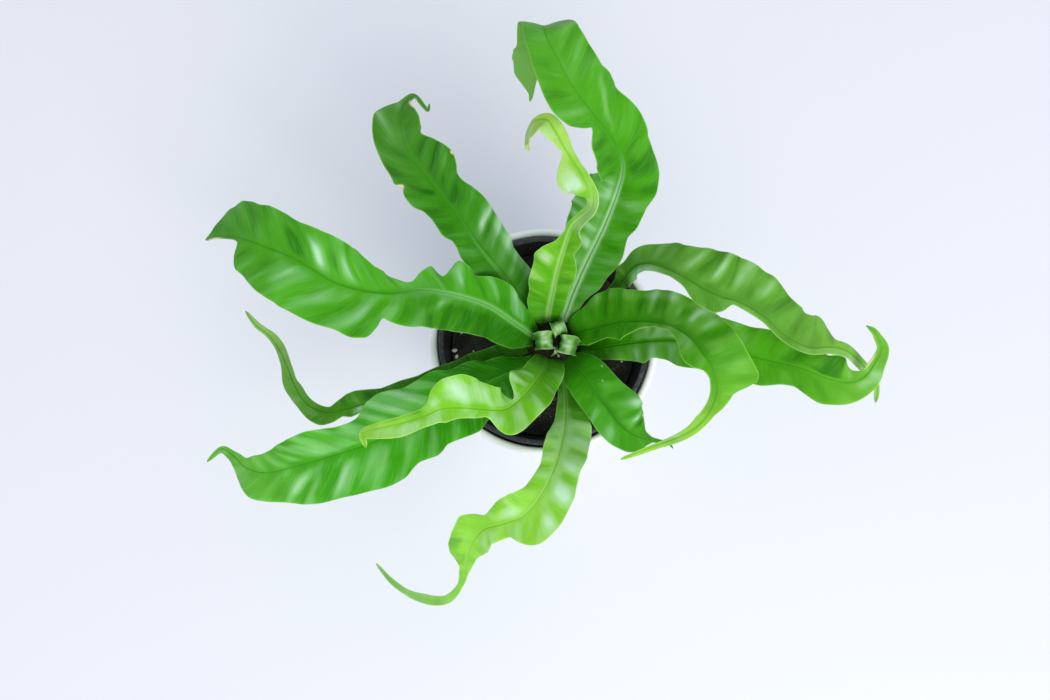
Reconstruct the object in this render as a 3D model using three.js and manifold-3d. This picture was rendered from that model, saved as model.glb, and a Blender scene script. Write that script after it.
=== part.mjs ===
// A potted bird's-nest fern with crisped fronds, in millimetres, +Z up.
// The origin is the centre of the white pot's foot, on the surface that the pot stands on.

import * as THREE from 'three';
import { mergeVertices } from 'three/addons/utils/BufferGeometryUtils.js';
import Module from 'manifold-3d';

const wasm = await Module();
wasm.setup();

// White pot: a glazed cylinder that widens a little towards its rim
const POT = { height: 100, rimRadius: 54.5, footRadius: 43, wall: 3.6, floor: 8, lip: 1.8, chamfer: 1.5 };
const SIDES = 40;
const RIM_STEPS = 6;

// Nursery pot: a thin black plastic pot that stands inside the white one
const LINER = {
  rimRadius: 50,
  rimTop: 101,
  rimDrop: 7,
  rimFlare: 1.3,
  bevel: 0.8,
  footRadius: 35,
  wall: 1.2,
};
const DRAIN = { holes: 6, radius: 4, circle: 25, sides: 10 };

// Potting soil: the level that it is filled to, its relief and the steps of its mesh
const SOIL = { level: 88, edge: 84, relief: 1.1, grain: 5.5, rings: 8 };

// Crown: the short scaly stem that the fronds grow from. Bluntness below 1 gives its dome square shoulders
const CROWN = { x: 5, y: 0, radius: 13.5, neck: 10.8, top: 102, root: 72, bluntness: 0.8, rings: 6 };
const SCALES = { around: 20, relief: 0.5, turn: 2.4, climb: 1.7 };

// Clearances: between pieces that touch, and how deep a stalk stands in its hole
const GAP = 0.3;
const SOCKET_DEPTH = 16;

// Blades: thickness at the edge, along the rib and at the stalk, and how far out from the midrib the rib's
// thickness reaches. Narrowest is the least half width, and cup how much the folded halves bend back level
const BLADE = { edge: 0.8, rib: 1.5, ribReach: 0.6, stalk: 2.4, stalkLength: 14, narrowest: 0.5, cup: 0.35 };

// Waves: where they begin and reach full height along the midrib, the half width that carries them in full,
// how far a crest spreads outwards, and how steeply the height grows towards the edge
const WAVE = { start: 10, full: 40, fullWidth: 10, spread: 0.03, steepness: 1.8 };

// The blades' mesh: the step along the midrib, the columns across, and the finer steps between stations
const STEP = 5.4;
const COLUMNS = [-1, -0.6, -0.2, 0, 0.2, 0.6, 1];
const FINE_STEPS = 4;

const UP = new THREE.Vector3(0, 0, 1);

// Fronds. Midrib is its points, x y z. Left and right are pairs of a place in mm along the midrib and the
// half width there. Crests are where each edge rises, in mm along the midrib too. Rise is the height of a
// crest, and fold the angle that both halves stand up from the midrib, at the base and at the tip.
const FRONDS = {
  frond_north: {
    color: 0x3d9a1c,
    fold: [24, 12],
    rise: 1.2,
    crests: { left: [28, 58, 84, 112, 154, 184], right: [30, 58, 82, 120, 150, 186] },
    midrib: [
      [9, 9, 94], [11, 14, 103], [13, 19, 112], [18, 29, 130], [25, 41, 155], [29, 52, 182],
      [26, 57, 195], [21, 61, 204], [15, 64, 213], [8, 69, 222], [2, 77, 228], [-2, 85, 229],
      [-2.3, 91, 224], [-2.6, 92.5, 214], [-3.4, 91.8, 202], [-5, 89, 189], [-7, 85, 176],
    ],
    left: [
      [0, 3], [10, 7], [20, 8], [45, 11], [60, 14], [66, 16], [78, 16.5], [87, 14], [93, 13.5], [98, 13],
      [103, 11.8], [112, 12.8], [118, 12.5], [121, 11.5], [124, 11], [128, 10.2], [131, 8.6],
      [133.5, 3.6], [137, 7.3], [143, 11], [149, 12.6], [155, 11], [160, 10], [166, 8.3], [172, 7.5],
      [178, 8], [182, 9], [188, 9], [196, 9.3], [206, 11], [214, 11], [219, 9], [224, 0.8],
    ],
    right: [
      [0, 3], [10, 5], [20, 6], [28, 7.8], [36, 10.7], [50, 12.8], [62, 13], [69, 11.5], [76, 12.5],
      [90, 13], [97, 15.3], [103, 14.6], [108, 12.4], [114, 12.2], [122, 13.3], [130, 13.6], [136, 14.4],
      [142, 14], [150, 11.6], [160, 12], [170, 12.2], [176, 11], [181, 9], [187, 8], [195, 5.4],
      [203, 2.8], [210, 1.1], [217, 0.8], [224, 0.8],
    ],
  },
  frond_north_young: {
    color: 0x8ccf2a,
    fold: [26, 12],
    rise: 0.9,
    crests: { left: [20, 42, 60, 90, 118, 138, 160], right: [26, 50, 74, 104, 136, 160] },
    midrib: [
      [2, 9, 95], [2, 12, 105], [3, 16, 121], [5, 24, 142], [8, 32, 156], [10, 36, 165], [14, 38, 172],
      [17, 39, 179], [17, 42, 186], [13, 47, 194], [9, 50, 201], [5, 54, 206], [2, 58, 210],
      [-1, 62, 211], [-5, 63, 208], [-7, 63, 202], [-8, 63, 193], [-8, 62, 183],
    ],
    left: [
      [0, 3], [10, 8.5], [25, 10.5], [45, 11], [57, 11], [61, 9], [65, 4.5], [72, 2], [85, 2.5],
      [98, 2.6], [101, 3.5], [106, 6.5], [110, 8.6], [115, 11], [119, 11.4], [121.5, 9], [123, 4],
      [124.5, 1.6], [130, 3], [133, 4.5], [137, 5], [142, 7], [147, 7], [152, 6], [160, 4.6], [166, 2],
      [172, 0.7],
    ],
    right: [
      [0, 3], [10, 6], [25, 7], [45, 8], [55, 8.5], [62, 5], [67, 6.5], [73, 6.5], [79, 4], [86, 3],
      [98, 2.5], [115, 2], [122, 2.4], [128, 3.5], [134, 3.5], [139, 2.3], [144, 1.6], [149, 1.8],
      [154, 2], [160, 2.2], [166, 1.6], [172, 0.7],
    ],
  },
  frond_northwest: {
    color: 0x2f8a22,
    fold: [22, 6],
    rise: 1.1,
    crests: { left: [40, 64, 88, 111, 131, 150], right: [34, 58, 90, 115, 146] },
    midrib: [
      [-3, 8, 89], [-7, 12, 97], [-12, 18, 108], [-20, 26, 124], [-29, 33, 144], [-37, 41, 164],
      [-45, 48, 181], [-52, 55, 193], [-55, 62, 200], [-55, 69, 201], [-54, 74, 199], [-51, 78, 196],
      [-48, 76, 192], [-46.5, 75, 190], [-46, 78, 189],
    ],
    left: [
      [0, 3], [15, 6], [45, 8], [62, 9.2], [71, 9.3], [76, 8], [81, 8], [89, 10], [98, 9.5], [105, 10],
      [111, 12], [116, 12], [118.8, 9.5], [120.5, 12.2], [124, 11], [131, 10.6], [137, 10.7], [141, 10.8],
      [144, 7], [146, 2.4], [149, 1.6], [163, 0.6],
    ],
    right: [
      [0, 3], [15, 7.5], [30, 11.5], [50, 12.5], [62, 13.5], [68, 14.6], [75, 15], [82, 14], [90, 12.8],
      [95, 12.2], [100, 11.2], [105, 11.2], [110, 12.4], [115, 13.6], [120, 13], [127, 11], [131, 8],
      [133, 7], [136, 8], [141, 7], [146, 3.5], [149, 1.6], [163, 0.6],
    ],
  },
  frond_west: {
    color: 0x36951f,
    fold: [24, 6],
    rise: 1.3,
    crests: { left: [22, 56, 88, 124, 148, 172], right: [40, 66, 83, 112, 136, 164, 200] },
    midrib: [
      [-4, 1, 94], [-8, 3, 104], [-15, 6, 115], [-25, 10, 131], [-38, 11, 149], [-51, 10, 164],
      [-64, 6, 176], [-79, 7, 188], [-94, 15, 194], [-108, 21, 191], [-119, 26, 184], [-130, 29, 175],
      [-138, 30, 167],
    ],
    left: [
      [0, 3], [10, 7], [20, 11.5], [34, 13.8], [55, 15.6], [70, 16.8], [90, 17], [98, 16], [103, 12.5],
      [106, 10], [108, 14], [112, 18.9], [117, 19.2], [122, 17.2], [127, 17.5], [132, 18.4], [137, 19.2],
      [143, 18], [151, 15.8], [160, 13.2], [163, 12.4], [166, 9.4], [167.5, 6], [169.5, 2], [173, 1.2],
      [196, 0.7],
    ],
    right: [
      [0, 3], [10, 5.5], [20, 8.3], [32, 11.5], [48, 12.5], [55, 11], [62, 12.5], [69, 14], [70.8, 10.2],
      [73.5, 6.6], [77.5, 8], [82, 9.7], [86, 7], [89, 3.5], [92, 3.4], [97, 6.3], [103, 8.7], [110, 9.4],
      [115, 11.8], [120, 14.8], [126, 15.7], [132, 14.6], [138, 13.4], [145, 13.3], [152, 15], [160, 15],
      [165, 13.8], [170, 14.6], [175, 15.2], [180, 14], [184, 11.4], [188, 7], [192, 2.6], [196, 0.7],
    ],
  },
  frond_west_low: {
    color: 0x3b8f2c,
    fold: [20, 8],
    rise: 0.7,
    crests: { left: [30, 55, 80, 101, 117, 139, 160], right: [38, 66, 97, 125, 158] },
    midrib: [
      [-6, -1, 87], [-12, -3, 93], [-21, -8, 100], [-34, -15, 108], [-48, -19, 114], [-61, -24, 113],
      [-76, -29, 108], [-93, -33, 100], [-104, -34, 95], [-113, -30, 93], [-119, -22, 92],
      [-124, -12, 90], [-129, -3, 87], [-136, 5, 82], [-144, 11, 78], [-151, 19, 73],
    ],
    left: [
      [0, 3], [15, 5], [30, 6], [85, 5.5], [95, 3.5], [101, 4.5], [106, 3], [111, 5], [116, 6.5],
      [121, 6], [128, 4.3], [137, 5], [142, 4.5], [150, 2.5], [160, 1.5], [180, 1.2], [192, 0.7],
    ],
    right: [
      [0, 3], [15, 5], [30, 6.2], [37, 6.8], [43, 5.6], [50, 4.6], [63, 3.5], [72, 4.5], [82, 4.5],
      [89, 6], [96, 7], [102, 6.5], [108, 4.5], [113, 2.5], [126, 3], [135, 3], [140, 2], [148, 2.4],
      [158, 3.2], [166, 3.2], [173, 2.2], [182, 2], [192, 0.7],
    ],
  },
  frond_southwest: {
    color: 0x3ba01f,
    fold: [22, 5],
    rise: 1.1,
    crests: { left: [36, 62, 82, 101, 130, 155], right: [44, 64, 92, 127, 160] },
    midrib: [
      [-3, -8, 89], [-9, -13, 97], [-21, -20, 112], [-33, -28, 124], [-49, -39, 138], [-63, -47, 147],
      [-80, -54, 153], [-100, -60, 154], [-114, -63, 150], [-124, -61, 145], [-131, -56, 141],
      [-138, -53, 136], [-147, -58, 127],
    ],
    left: [
      [0, 3], [12, 5.5], [30, 10], [50, 14.5], [62, 16.5], [70, 15.5], [76, 14.5], [83, 16.3], [89, 15.6],
      [96, 18.8], [104, 19.2], [115, 18.8], [127, 17], [136, 15.5], [146, 12.4], [153, 10.6], [158, 7.4],
      [163, 4], [170, 2.5], [182, 1.5], [191, 0.7],
    ],
    right: [
      [0, 3], [12, 5.5], [30, 9.5], [50, 13.5], [65, 16], [80, 16.5], [94, 17.2], [100, 16], [105, 12],
      [110, 11], [116, 11], [127, 11.9], [136, 11.3], [141, 10.6], [146, 9.3], [151, 7.7], [157, 6],
      [163, 3], [172, 1.5], [191, 0.7],
    ],
  },
  frond_southwest_young: {
    color: 0x83cc28,
    fold: [24, 10],
    rise: 1.3,
    crests: { left: [18, 40, 60, 90, 113], right: [18, 42, 60, 84, 110] },
    midrib: [
      [2, -8, 94], [1, -11, 102], [-1, -17, 113], [-6, -25, 124], [-12, -32, 132], [-17, -36, 138],
      [-22, -37, 144], [-28, -37, 150], [-37, -37, 157], [-43, -38, 161], [-49, -41, 165],
      [-57, -44, 169], [-66, -46, 169], [-73, -48, 164], [-73, -53, 156],
    ],
    left: [
      [0, 3], [10, 8], [22, 9.8], [40, 11], [55, 11.5], [61, 12], [65, 9.5], [67, 5], [69, 3], [74, 4],
      [83, 4.5], [92, 6], [96, 5], [102, 4.5], [111, 5.5], [118, 4.5], [125, 3], [136, 0.8],
    ],
    right: [
      [0, 3], [10, 6.5], [22, 8], [31, 8.5], [38, 10.5], [42, 11], [45, 8.5], [46.5, 4], [49, 2], [51, 2],
      [53, 6], [55, 8.5], [63, 9], [70, 11], [77, 12.5], [84, 13], [90, 11.5], [93.5, 8], [95, 4.5],
      [99, 3], [112, 2.5], [125, 1.8], [136, 0.8],
    ],
  },
  frond_south: {
    color: 0x5db528,
    fold: [22, 6],
    rise: 1.1,
    crests: { left: [34, 62, 90, 120, 150, 178], right: [28, 52, 92, 122, 152] },
    midrib: [
      [6, -10, 88], [9, -18, 94], [10, -28, 101], [9, -42, 113], [5, -57, 127], [-1, -70, 136],
      [-9, -80, 139], [-18, -84, 136], [-27, -87, 130], [-33, -95, 118], [-36, -105, 106],
      [-39, -114, 97], [-47, -121, 90], [-61, -120, 84], [-72, -114, 80], [-81, -106, 76],
    ],
    left: [
      [0, 3], [15, 5], [31, 8], [42, 12.2], [48, 13], [54, 12.3], [60, 11.8], [66, 10.8], [71, 11.8],
      [76, 13.4], [82, 13.3], [88, 13.5], [94, 13.2], [97, 10.8], [101, 6.5], [104, 6.3], [108, 7],
      [120, 8.3], [130, 6.8], [138, 4.2], [150, 2], [158, 1.5], [168, 2.5], [180, 2.5], [192, 1.7],
      [200, 1.7], [212, 0.7],
    ],
    right: [
      [0, 3], [10, 2.8], [22, 3.6], [38, 5], [50, 7.2], [58, 7.6], [68, 6.3], [76, 7], [84, 7.6],
      [88, 9.2], [93, 10.6], [100, 10.5], [106, 8.5], [110.5, 5], [113, 7.5], [117, 11], [121, 9.8],
      [127, 9.8], [133, 10], [138, 8], [141.5, 5], [145, 2.7], [158, 1.3], [167, 1.6], [182, 2.2],
      [194, 1.2], [212, 0.7],
    ],
  },
  frond_southeast: {
    color: 0x35921f,
    fold: [20, 4],
    rise: 0.8,
    crests: { left: [24, 46, 66], right: [22, 44, 64] },
    midrib: [
      [10, -8, 94], [13, -12, 102], [17, -17, 109], [22, -25, 113], [28, -33, 114], [34, -41, 113],
      [40, -45, 108], [47, -47, 102], [55, -48, 95], [59, -48, 91], [62, -51, 88],
    ],
    left: [
      [0, 3], [10, 7.1], [20, 10.4], [31, 12], [43, 14.3], [50, 13.5], [56, 12.5], [61, 10.5], [63, 7],
      [66, 3.5], [72, 1.5], [80, 0.9], [89, 0.6],
    ],
    right: [
      [0, 3], [10, 6], [20, 9.2], [32, 10], [52, 9.8], [59, 8.8], [64, 6.5], [69, 3], [73, 1], [89, 0.6],
    ],
  },
  frond_east: {
    color: 0x3fa01e,
    fold: [22, 4],
    rise: 1,
    crests: { left: [22, 48, 76, 104, 130, 152], right: [20, 36, 54, 78, 106, 136] },
    midrib: [
      [13, 2, 94], [17, 3, 104], [25, 3, 118], [34, 2, 136], [43, -1, 152], [50, -5, 164], [56, -11, 172],
      [60, -18, 176], [63, -23, 176], [65, -28, 173], [66, -33, 167], [65, -39, 158], [62, -44, 149],
      [56, -48, 142], [45, -52, 132], [33, -57, 124],
    ],
    left: [
      [0, 3], [10, 8], [20, 11], [28, 14.5], [36, 16.3], [42, 15.3], [50, 13], [57, 13.5], [64, 14.5],
      [70, 14], [76, 13], [83, 13], [90, 14], [96, 14.8], [102, 14], [107, 14], [111, 15.6],
      [114.5, 17.6], [118, 17.6], [118.6, 15], [119.6, 7.5], [121, 7], [126, 4.8], [132, 2.6], [142, 2.2],
      [160, 2], [175, 1.5], [183, 0.7],
    ],
    right: [
      [0, 3], [10, 6], [20, 8], [28, 7], [37, 6.5], [44, 8], [50, 9], [55, 6.5], [60, 3.7], [65, 2.5],
      [72, 2], [80, 2.4], [86, 3.8], [91, 6], [96, 8], [100, 8.5], [103, 7], [106, 4], [110, 2.6],
      [125, 2.6], [138, 3.4], [150, 2], [165, 0.9], [183, 0.7],
    ],
  },
  frond_east_low: {
    color: 0x2f931d,
    fold: [20, 6],
    rise: 1,
    crests: { left: [30, 54, 80, 104, 128, 150], right: [24, 46, 70, 102, 128, 152] },
    midrib: [
      [16, -3, 87], [22, -4, 94], [32, -4, 106], [45, -4, 119], [58, -6, 133], [71, -11, 144],
      [86, -16, 153], [103, -21, 158], [112, -25, 159], [121, -27, 159], [127, -25, 161], [130, -20, 165],
      [131, -15, 170], [128, -11, 174], [126, -9, 176], [123, -7, 177],
    ],
    left: [
      [0, 3], [12, 5], [30, 7], [50, 9], [65, 11.5], [79, 13], [90, 13], [104, 11.6], [117, 9.3],
      [125, 8.6], [130, 9.8], [134.5, 10], [137, 7.5], [139, 5], [141, 4], [144, 2.4], [158, 1.7],
      [168, 1.2], [170, 0.7],
    ],
    right: [
      [0, 3], [12, 5], [25, 6.5], [38, 9], [46, 10], [51, 8], [57, 9], [68, 11.5], [80, 10.5], [92, 10.5],
      [103, 11.5], [111, 9], [116, 8.5], [127, 11], [135, 9.5], [143, 6.5], [150, 4.2], [160, 2.4],
      [168, 1.2], [170, 0.7],
    ],
  },
  frond_northeast: {
    color: 0x3a8f27,
    fold: [18, 4],
    rise: 1.1,
    crests: { left: [60, 84, 104, 130, 156, 176], right: [64, 90, 112, 126, 154, 176] },
    midrib: [
      [13, 6, 88], [21, 10, 95], [28, 15, 106], [32, 19, 118], [34, 21, 132], [35, 21, 147],
      [37, 21, 160], [41, 19, 171], [46, 15, 179], [52, 10, 185], [59, 5, 187], [66, 2, 187],
      [72, 0, 187], [82, -5, 184], [90, -11, 180], [101, -15, 174], [112, -14, 168], [122, -15, 160],
      [134, -22, 149], [140, -27, 141], [142, -33, 134],
    ],
    left: [
      [0, 3], [10, 4], [35, 3.5], [50, 3.4], [60, 4.8], [78, 6], [85, 7], [95, 10], [100, 11],
      [105, 10.6], [110, 12.6], [115, 15.4], [120, 16.8], [126, 16], [132, 15.5], [138, 15.5],
      [143, 15.8], [147, 14.2], [150, 12], [154, 11.6], [160, 12.2], [167, 12.8], [172, 12.6],
      [176, 12.4], [180, 12], [184, 7], [187.5, 3.2], [200, 2.5], [225, 1.7], [236, 0.7],
    ],
    right: [
      [0, 3], [10, 4], [40, 3.8], [50, 3.2], [62, 5], [80, 5.2], [100, 2.8], [108, 2.4], [115, 3.4],
      [122, 7], [128, 7.4], [131, 5.4], [133, 1.8], [145, 2.2], [160, 2.6], [190, 3], [220, 2.2],
      [236, 0.7],
    ],
  },
};

// Young fronds that are still rolled up. Heading is the way that the roll leans, in degrees from +X
const CROZIERS = {
  crozier_west: { x: 0.4, y: -2, foot: 96, top: 111.2, heading: 5, roll: 4, width: 9.2, turns: 1.4 },
  crozier_north: { x: 6.6, y: 4, foot: 96, top: 110, heading: -70, roll: 3.1, width: 7.6, turns: 1.3 },
  crozier_east: { x: 10.7, y: -3.9, foot: 96, top: 111, heading: 165, roll: 4, width: 9.6, turns: 1.4 },
  crozier_south: { x: 5.5, y: -5.5, foot: 94, top: 104.2, heading: 85, roll: 1.2, width: 2.1, turns: 0.6 },
};

// A crozier's stalk: how far its foot and its bend lean back, in shares of the roll's radius, and its half
// widths there. Then the roll: steps in a turn, and how much its radius and width shrink on the way in
const CROZIER_STALK = { footLean: 0.3, bendLean: 0.85, footHalf: 1.6, bendHalf: 2.4 };
const CROZIER_ROLL = { stepsPerTurn: 8, radiusLoss: 0.62, widthLoss: 0.45, neckShare: 0.85, fold: [10, 6] };

// The group's members

const fern = new THREE.Group();

function addPiece(name, geometry, color, roughness, metalness = 0) {
  const material = new THREE.MeshStandardMaterial({ color, roughness, metalness });
  const mesh = new THREE.Mesh(geometry, material);
  mesh.name = name;
  fern.add(mesh);
}

// Joining and cutting

function solidOf(geometry) {
  const bare = geometry.clone();
  bare.deleteAttribute('normal');
  bare.deleteAttribute('uv');
  const merged = mergeVertices(bare, 1e-4);
  const vertProperties = new Float32Array(merged.attributes.position.array);
  const triVerts = new Uint32Array(merged.index.array);
  return new wasm.Manifold(new wasm.Mesh({ numProp: 3, vertProperties, triVerts }));
}

function geometryOf(solid) {
  const mesh = solid.getMesh();
  const geometry = new THREE.BufferGeometry();
  geometry.setAttribute('position', new THREE.BufferAttribute(mesh.vertProperties, 3));
  geometry.setIndex(new THREE.BufferAttribute(mesh.triVerts, 1));
  return geometry;
}

function cut(geometry, tools) {
  let solid = solidOf(geometry);
  for (const tool of tools) {
    solid = solid.subtract(solidOf(tool));
  }
  return geometryOf(solid);
}

// Curves and frames along a blade

function parametersAlong(points) {
  const parameters = [0];
  for (let i = 0; i + 1 < points.length; i += 1) {
    const steps = Math.max(1, Math.round(points[i].distanceTo(points[i + 1]) / STEP)) * FINE_STEPS;
    for (let k = 1; k <= steps; k += 1) {
      parameters.push((i + k / steps) / (points.length - 1));
    }
  }
  return parameters;
}

// The half width at a place along the midrib, from its pairs
function halfWidth(pairs, travelled) {
  const next = pairs.findIndex(([place]) => place > travelled);
  if (next < 0) {
    return pairs[pairs.length - 1][1];
  }
  const [[from, before], [to, after]] = [pairs[next - 1], pairs[next]];
  return THREE.MathUtils.lerp(before, after, (travelled - from) / (to - from));
}

// Stations along a blade. A blade keeps its sides level where it can: each small step turns it back
// towards level, and where it hangs straight down it keeps the side that it had
function stationsAlong(frond) {
  const points = frond.midrib.map(([x, y, z]) => new THREE.Vector3(x, y, z));
  const curve = new THREE.CatmullRomCurve3(points, false, 'catmullrom', 0.5);
  const side = new THREE.Vector3().crossVectors(UP, curve.getTangent(0));
  const stations = [];
  let travelled = 0;
  for (const t of parametersAlong(points)) {
    const point = curve.getPoint(t);
    const along = curve.getTangent(t);
    const level = new THREE.Vector3().crossVectors(UP, along);
    side.addScaledVector(level, level.dot(side) < 0 ? -1 : 1);
    side.addScaledVector(along, -side.dot(along)).normalize();
    if (stations.length > 0) {
      travelled += point.distanceTo(stations[stations.length - 1].point);
    }
    const toLeft = side.clone();
    const up = new THREE.Vector3().crossVectors(along, toLeft);
    const [left, right] = [halfWidth(frond.left, travelled), halfWidth(frond.right, travelled)];
    stations.push({ point, up, toLeft, travelled, left, right });
  }
  return stations;
}

// Waves along an edge: the phase is a whole number of turns at each crest
function wavePhase(crests, travelled) {
  let k = 0;
  while (k + 2 < crests.length && travelled > crests[k + 1]) {
    k += 1;
  }
  return 2 * Math.PI * (k + (travelled - crests[k]) / (crests[k + 1] - crests[k]));
}

// The blade's middle surface, at a station and a share of the width from -1, the right edge, to 1, the left
function bladePoint(frond, station, share, length) {
  const onLeft = share > 0;
  const width = Math.max(BLADE.narrowest, onLeft ? station.left : station.right);
  const wave = Math.cos(wavePhase(onLeft ? frond.crests.left : frond.crests.right, station.travelled));
  const grown = THREE.MathUtils.smoothstep(station.travelled, WAVE.start, WAVE.full);
  const vigour = grown * Math.min(1, width / WAVE.fullWidth);
  const fold = THREE.MathUtils.lerp(frond.fold[0], frond.fold[1], station.travelled / length);
  const out = Math.abs(share);
  const reach = width * out * (1 + WAVE.spread * wave * vigour * out);
  const height = reach * Math.tan(THREE.MathUtils.degToRad(fold)) * (1 - BLADE.cup * out)
    + frond.rise * vigour * wave * out ** WAVE.steepness;
  return station.point.clone()
    .addScaledVector(station.toLeft, onLeft ? reach : -reach)
    .addScaledVector(station.up, height);
}

function gridNormal(grid, i, j) {
  const before = grid[Math.max(0, i - 1)][j];
  const after = grid[Math.min(grid.length - 1, i + 1)][j];
  const right = grid[i][Math.max(0, j - 1)];
  const left = grid[i][Math.min(grid[i].length - 1, j + 1)];
  const along = after.clone().sub(before);
  return along.cross(left.clone().sub(right)).normalize();
}

function halfThickness(share, travelled) {
  const out = Math.abs(share);
  const rib = THREE.MathUtils.lerp(BLADE.rib, BLADE.edge, Math.min(1, out / BLADE.ribReach));
  const stalk = BLADE.stalk * (1 - out / 2);
  return THREE.MathUtils.lerp(stalk, rib, THREE.MathUtils.smoothstep(travelled, 0, BLADE.stalkLength)) / 2;
}

// A closed sheet between an upper and a lower grid, split alike on both
function sheetBetween(upper, lower) {
  const rows = upper.length;
  const columns = upper[0].length;
  const positions = [...upper.flat(), ...lower.flat()].flatMap((p) => [p.x, p.y, p.z]);
  const top = (i, j) => i * columns + j;
  const bottom = (i, j) => rows * columns + i * columns + j;
  const index = [];
  const quad = (a, b, c, d) => index.push(a, b, c, a, c, d);
  for (let i = 0; i + 1 < rows; i += 1) {
    for (let j = 0; j + 1 < columns; j += 1) {
      index.push(top(i, j), top(i + 1, j), top(i + 1, j + 1));
      index.push(top(i, j), top(i + 1, j + 1), top(i, j + 1));
      index.push(bottom(i, j), bottom(i + 1, j + 1), bottom(i + 1, j));
      index.push(bottom(i, j), bottom(i, j + 1), bottom(i + 1, j + 1));
    }
    quad(top(i, columns - 1), top(i + 1, columns - 1), bottom(i + 1, columns - 1), bottom(i, columns - 1));
    quad(top(i, 0), bottom(i, 0), bottom(i + 1, 0), top(i + 1, 0));
  }
  for (let j = 0; j + 1 < columns; j += 1) {
    quad(top(0, j), top(0, j + 1), bottom(0, j + 1), bottom(0, j));
    quad(top(rows - 1, j), bottom(rows - 1, j), bottom(rows - 1, j + 1), top(rows - 1, j + 1));
  }
  const geometry = new THREE.BufferGeometry();
  geometry.setAttribute('position', new THREE.Float32BufferAttribute(positions, 3));
  geometry.setIndex(index);
  return geometry;
}

// A frond's blade. Extra thickens and widens it all round, to cut the hole that its stalk stands in
function bladeSolid(frond, extra = 0, reach = Infinity) {
  const all = stationsAlong(frond);
  const length = all[all.length - 1].travelled;
  const used = all.filter((station, i) => i % FINE_STEPS === 0 && station.travelled < reach);
  const grid = used.map((station) => {
    const wider = { ...station, left: station.left + extra, right: station.right + extra };
    return COLUMNS.map((share) => bladePoint(frond, wider, share, length));
  });
  const back = used[0].point.clone().sub(used[1].point).setLength(extra);
  grid[0].forEach((point) => point.add(back));
  const offset = (sign) => grid.map((line, i) => line.map((point, j) => {
    const half = halfThickness(COLUMNS[j], used[i].travelled) + extra;
    return point.clone().addScaledVector(gridNormal(grid, i, j), sign * half);
  }));
  return sheetBetween(offset(1), offset(-1));
}

// Pots

function lathe(outline) {
  const profile = outline.map(([radius, z]) => new THREE.Vector2(radius, z));
  return new THREE.LatheGeometry(profile, SIDES).rotateX(Math.PI / 2);
}

function potSolid() {
  const { height, rimRadius, footRadius, wall, floor, lip, chamfer } = POT;
  const middle = rimRadius - wall / 2;
  const foot = footRadius - wall;
  const rim = Array.from({ length: RIM_STEPS + 1 }, (_, i) => {
    const angle = (Math.PI * i) / RIM_STEPS;
    return [middle + (wall / 2) * Math.cos(angle), height - lip + lip * Math.sin(angle)];
  });
  const outline = [
    [0, 0],
    [footRadius - chamfer, 0],
    [footRadius, chamfer],
    ...rim,
    [foot, floor + chamfer * 2],
    [foot - chamfer * 2, floor],
    [0, floor],
  ];
  return lathe(outline);
}

// The radius of the nursery pot's outer wall at a height
function linerRadius(z) {
  const foot = POT.floor + GAP;
  const share = (z - foot) / (LINER.rimTop - foot);
  return THREE.MathUtils.lerp(LINER.footRadius, LINER.rimRadius - LINER.rimFlare, share);
}

function linerSolid() {
  const { rimRadius, rimTop, rimDrop, bevel, wall } = LINER;
  const foot = POT.floor + GAP;
  const under = rimTop - rimDrop;
  const outline = [
    [0, foot],
    [linerRadius(foot), foot],
    [linerRadius(under), under],
    [rimRadius, under + bevel],
    [rimRadius, rimTop - bevel],
    [rimRadius - bevel, rimTop],
    [linerRadius(rimTop) - wall, rimTop],
    [linerRadius(under) - wall, under],
    [linerRadius(foot + wall) - wall, foot + wall],
    [0, foot + wall],
  ];
  const drains = Array.from({ length: DRAIN.holes }, (_, i) => {
    const angle = (2 * Math.PI * i) / DRAIN.holes;
    return new THREE.CylinderGeometry(DRAIN.radius, DRAIN.radius, wall * 4, DRAIN.sides)
      .rotateX(Math.PI / 2)
      .translate(DRAIN.circle * Math.cos(angle), DRAIN.circle * Math.sin(angle), foot);
  });
  return cut(lathe(outline), drains);
}

// Soil: a round body whose top follows a lumpy surface, the sum of three waves that cross
function soilLevel(x, y) {
  const u = x / SOIL.grain;
  const v = y / SOIL.grain;
  const lumps = Math.sin(u + 1.3) * Math.cos(v) + 0.7 * Math.sin(0.8 * u - 1.4 * v);
  const grit = 0.6 * Math.cos(2.1 * u + 1.1 * v);
  return SOIL.level + SOIL.relief * (lumps + grit);
}

function soilSolid() {
  const bottom = POT.floor + GAP + LINER.wall + GAP;
  const wallAt = (z) => linerRadius(z) - LINER.wall - GAP;
  const ringOf = (radius, levelAt) => Array.from({ length: SIDES }, (_, k) => {
    const angle = (2 * Math.PI * k) / SIDES;
    const x = radius * Math.cos(angle);
    const y = radius * Math.sin(angle);
    return new THREE.Vector3(x, y, levelAt(x, y));
  });
  const grid = [bottom, SOIL.edge].map((z) => ringOf(wallAt(z), () => z));
  for (let ring = SOIL.rings; ring >= 1; ring -= 1) {
    grid.push(ringOf((wallAt(SOIL.edge) * ring) / SOIL.rings, soilLevel));
  }
  return closedRings(grid, new THREE.Vector3(0, 0, bottom), new THREE.Vector3(0, 0, soilLevel(0, 0)));
}

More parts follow.
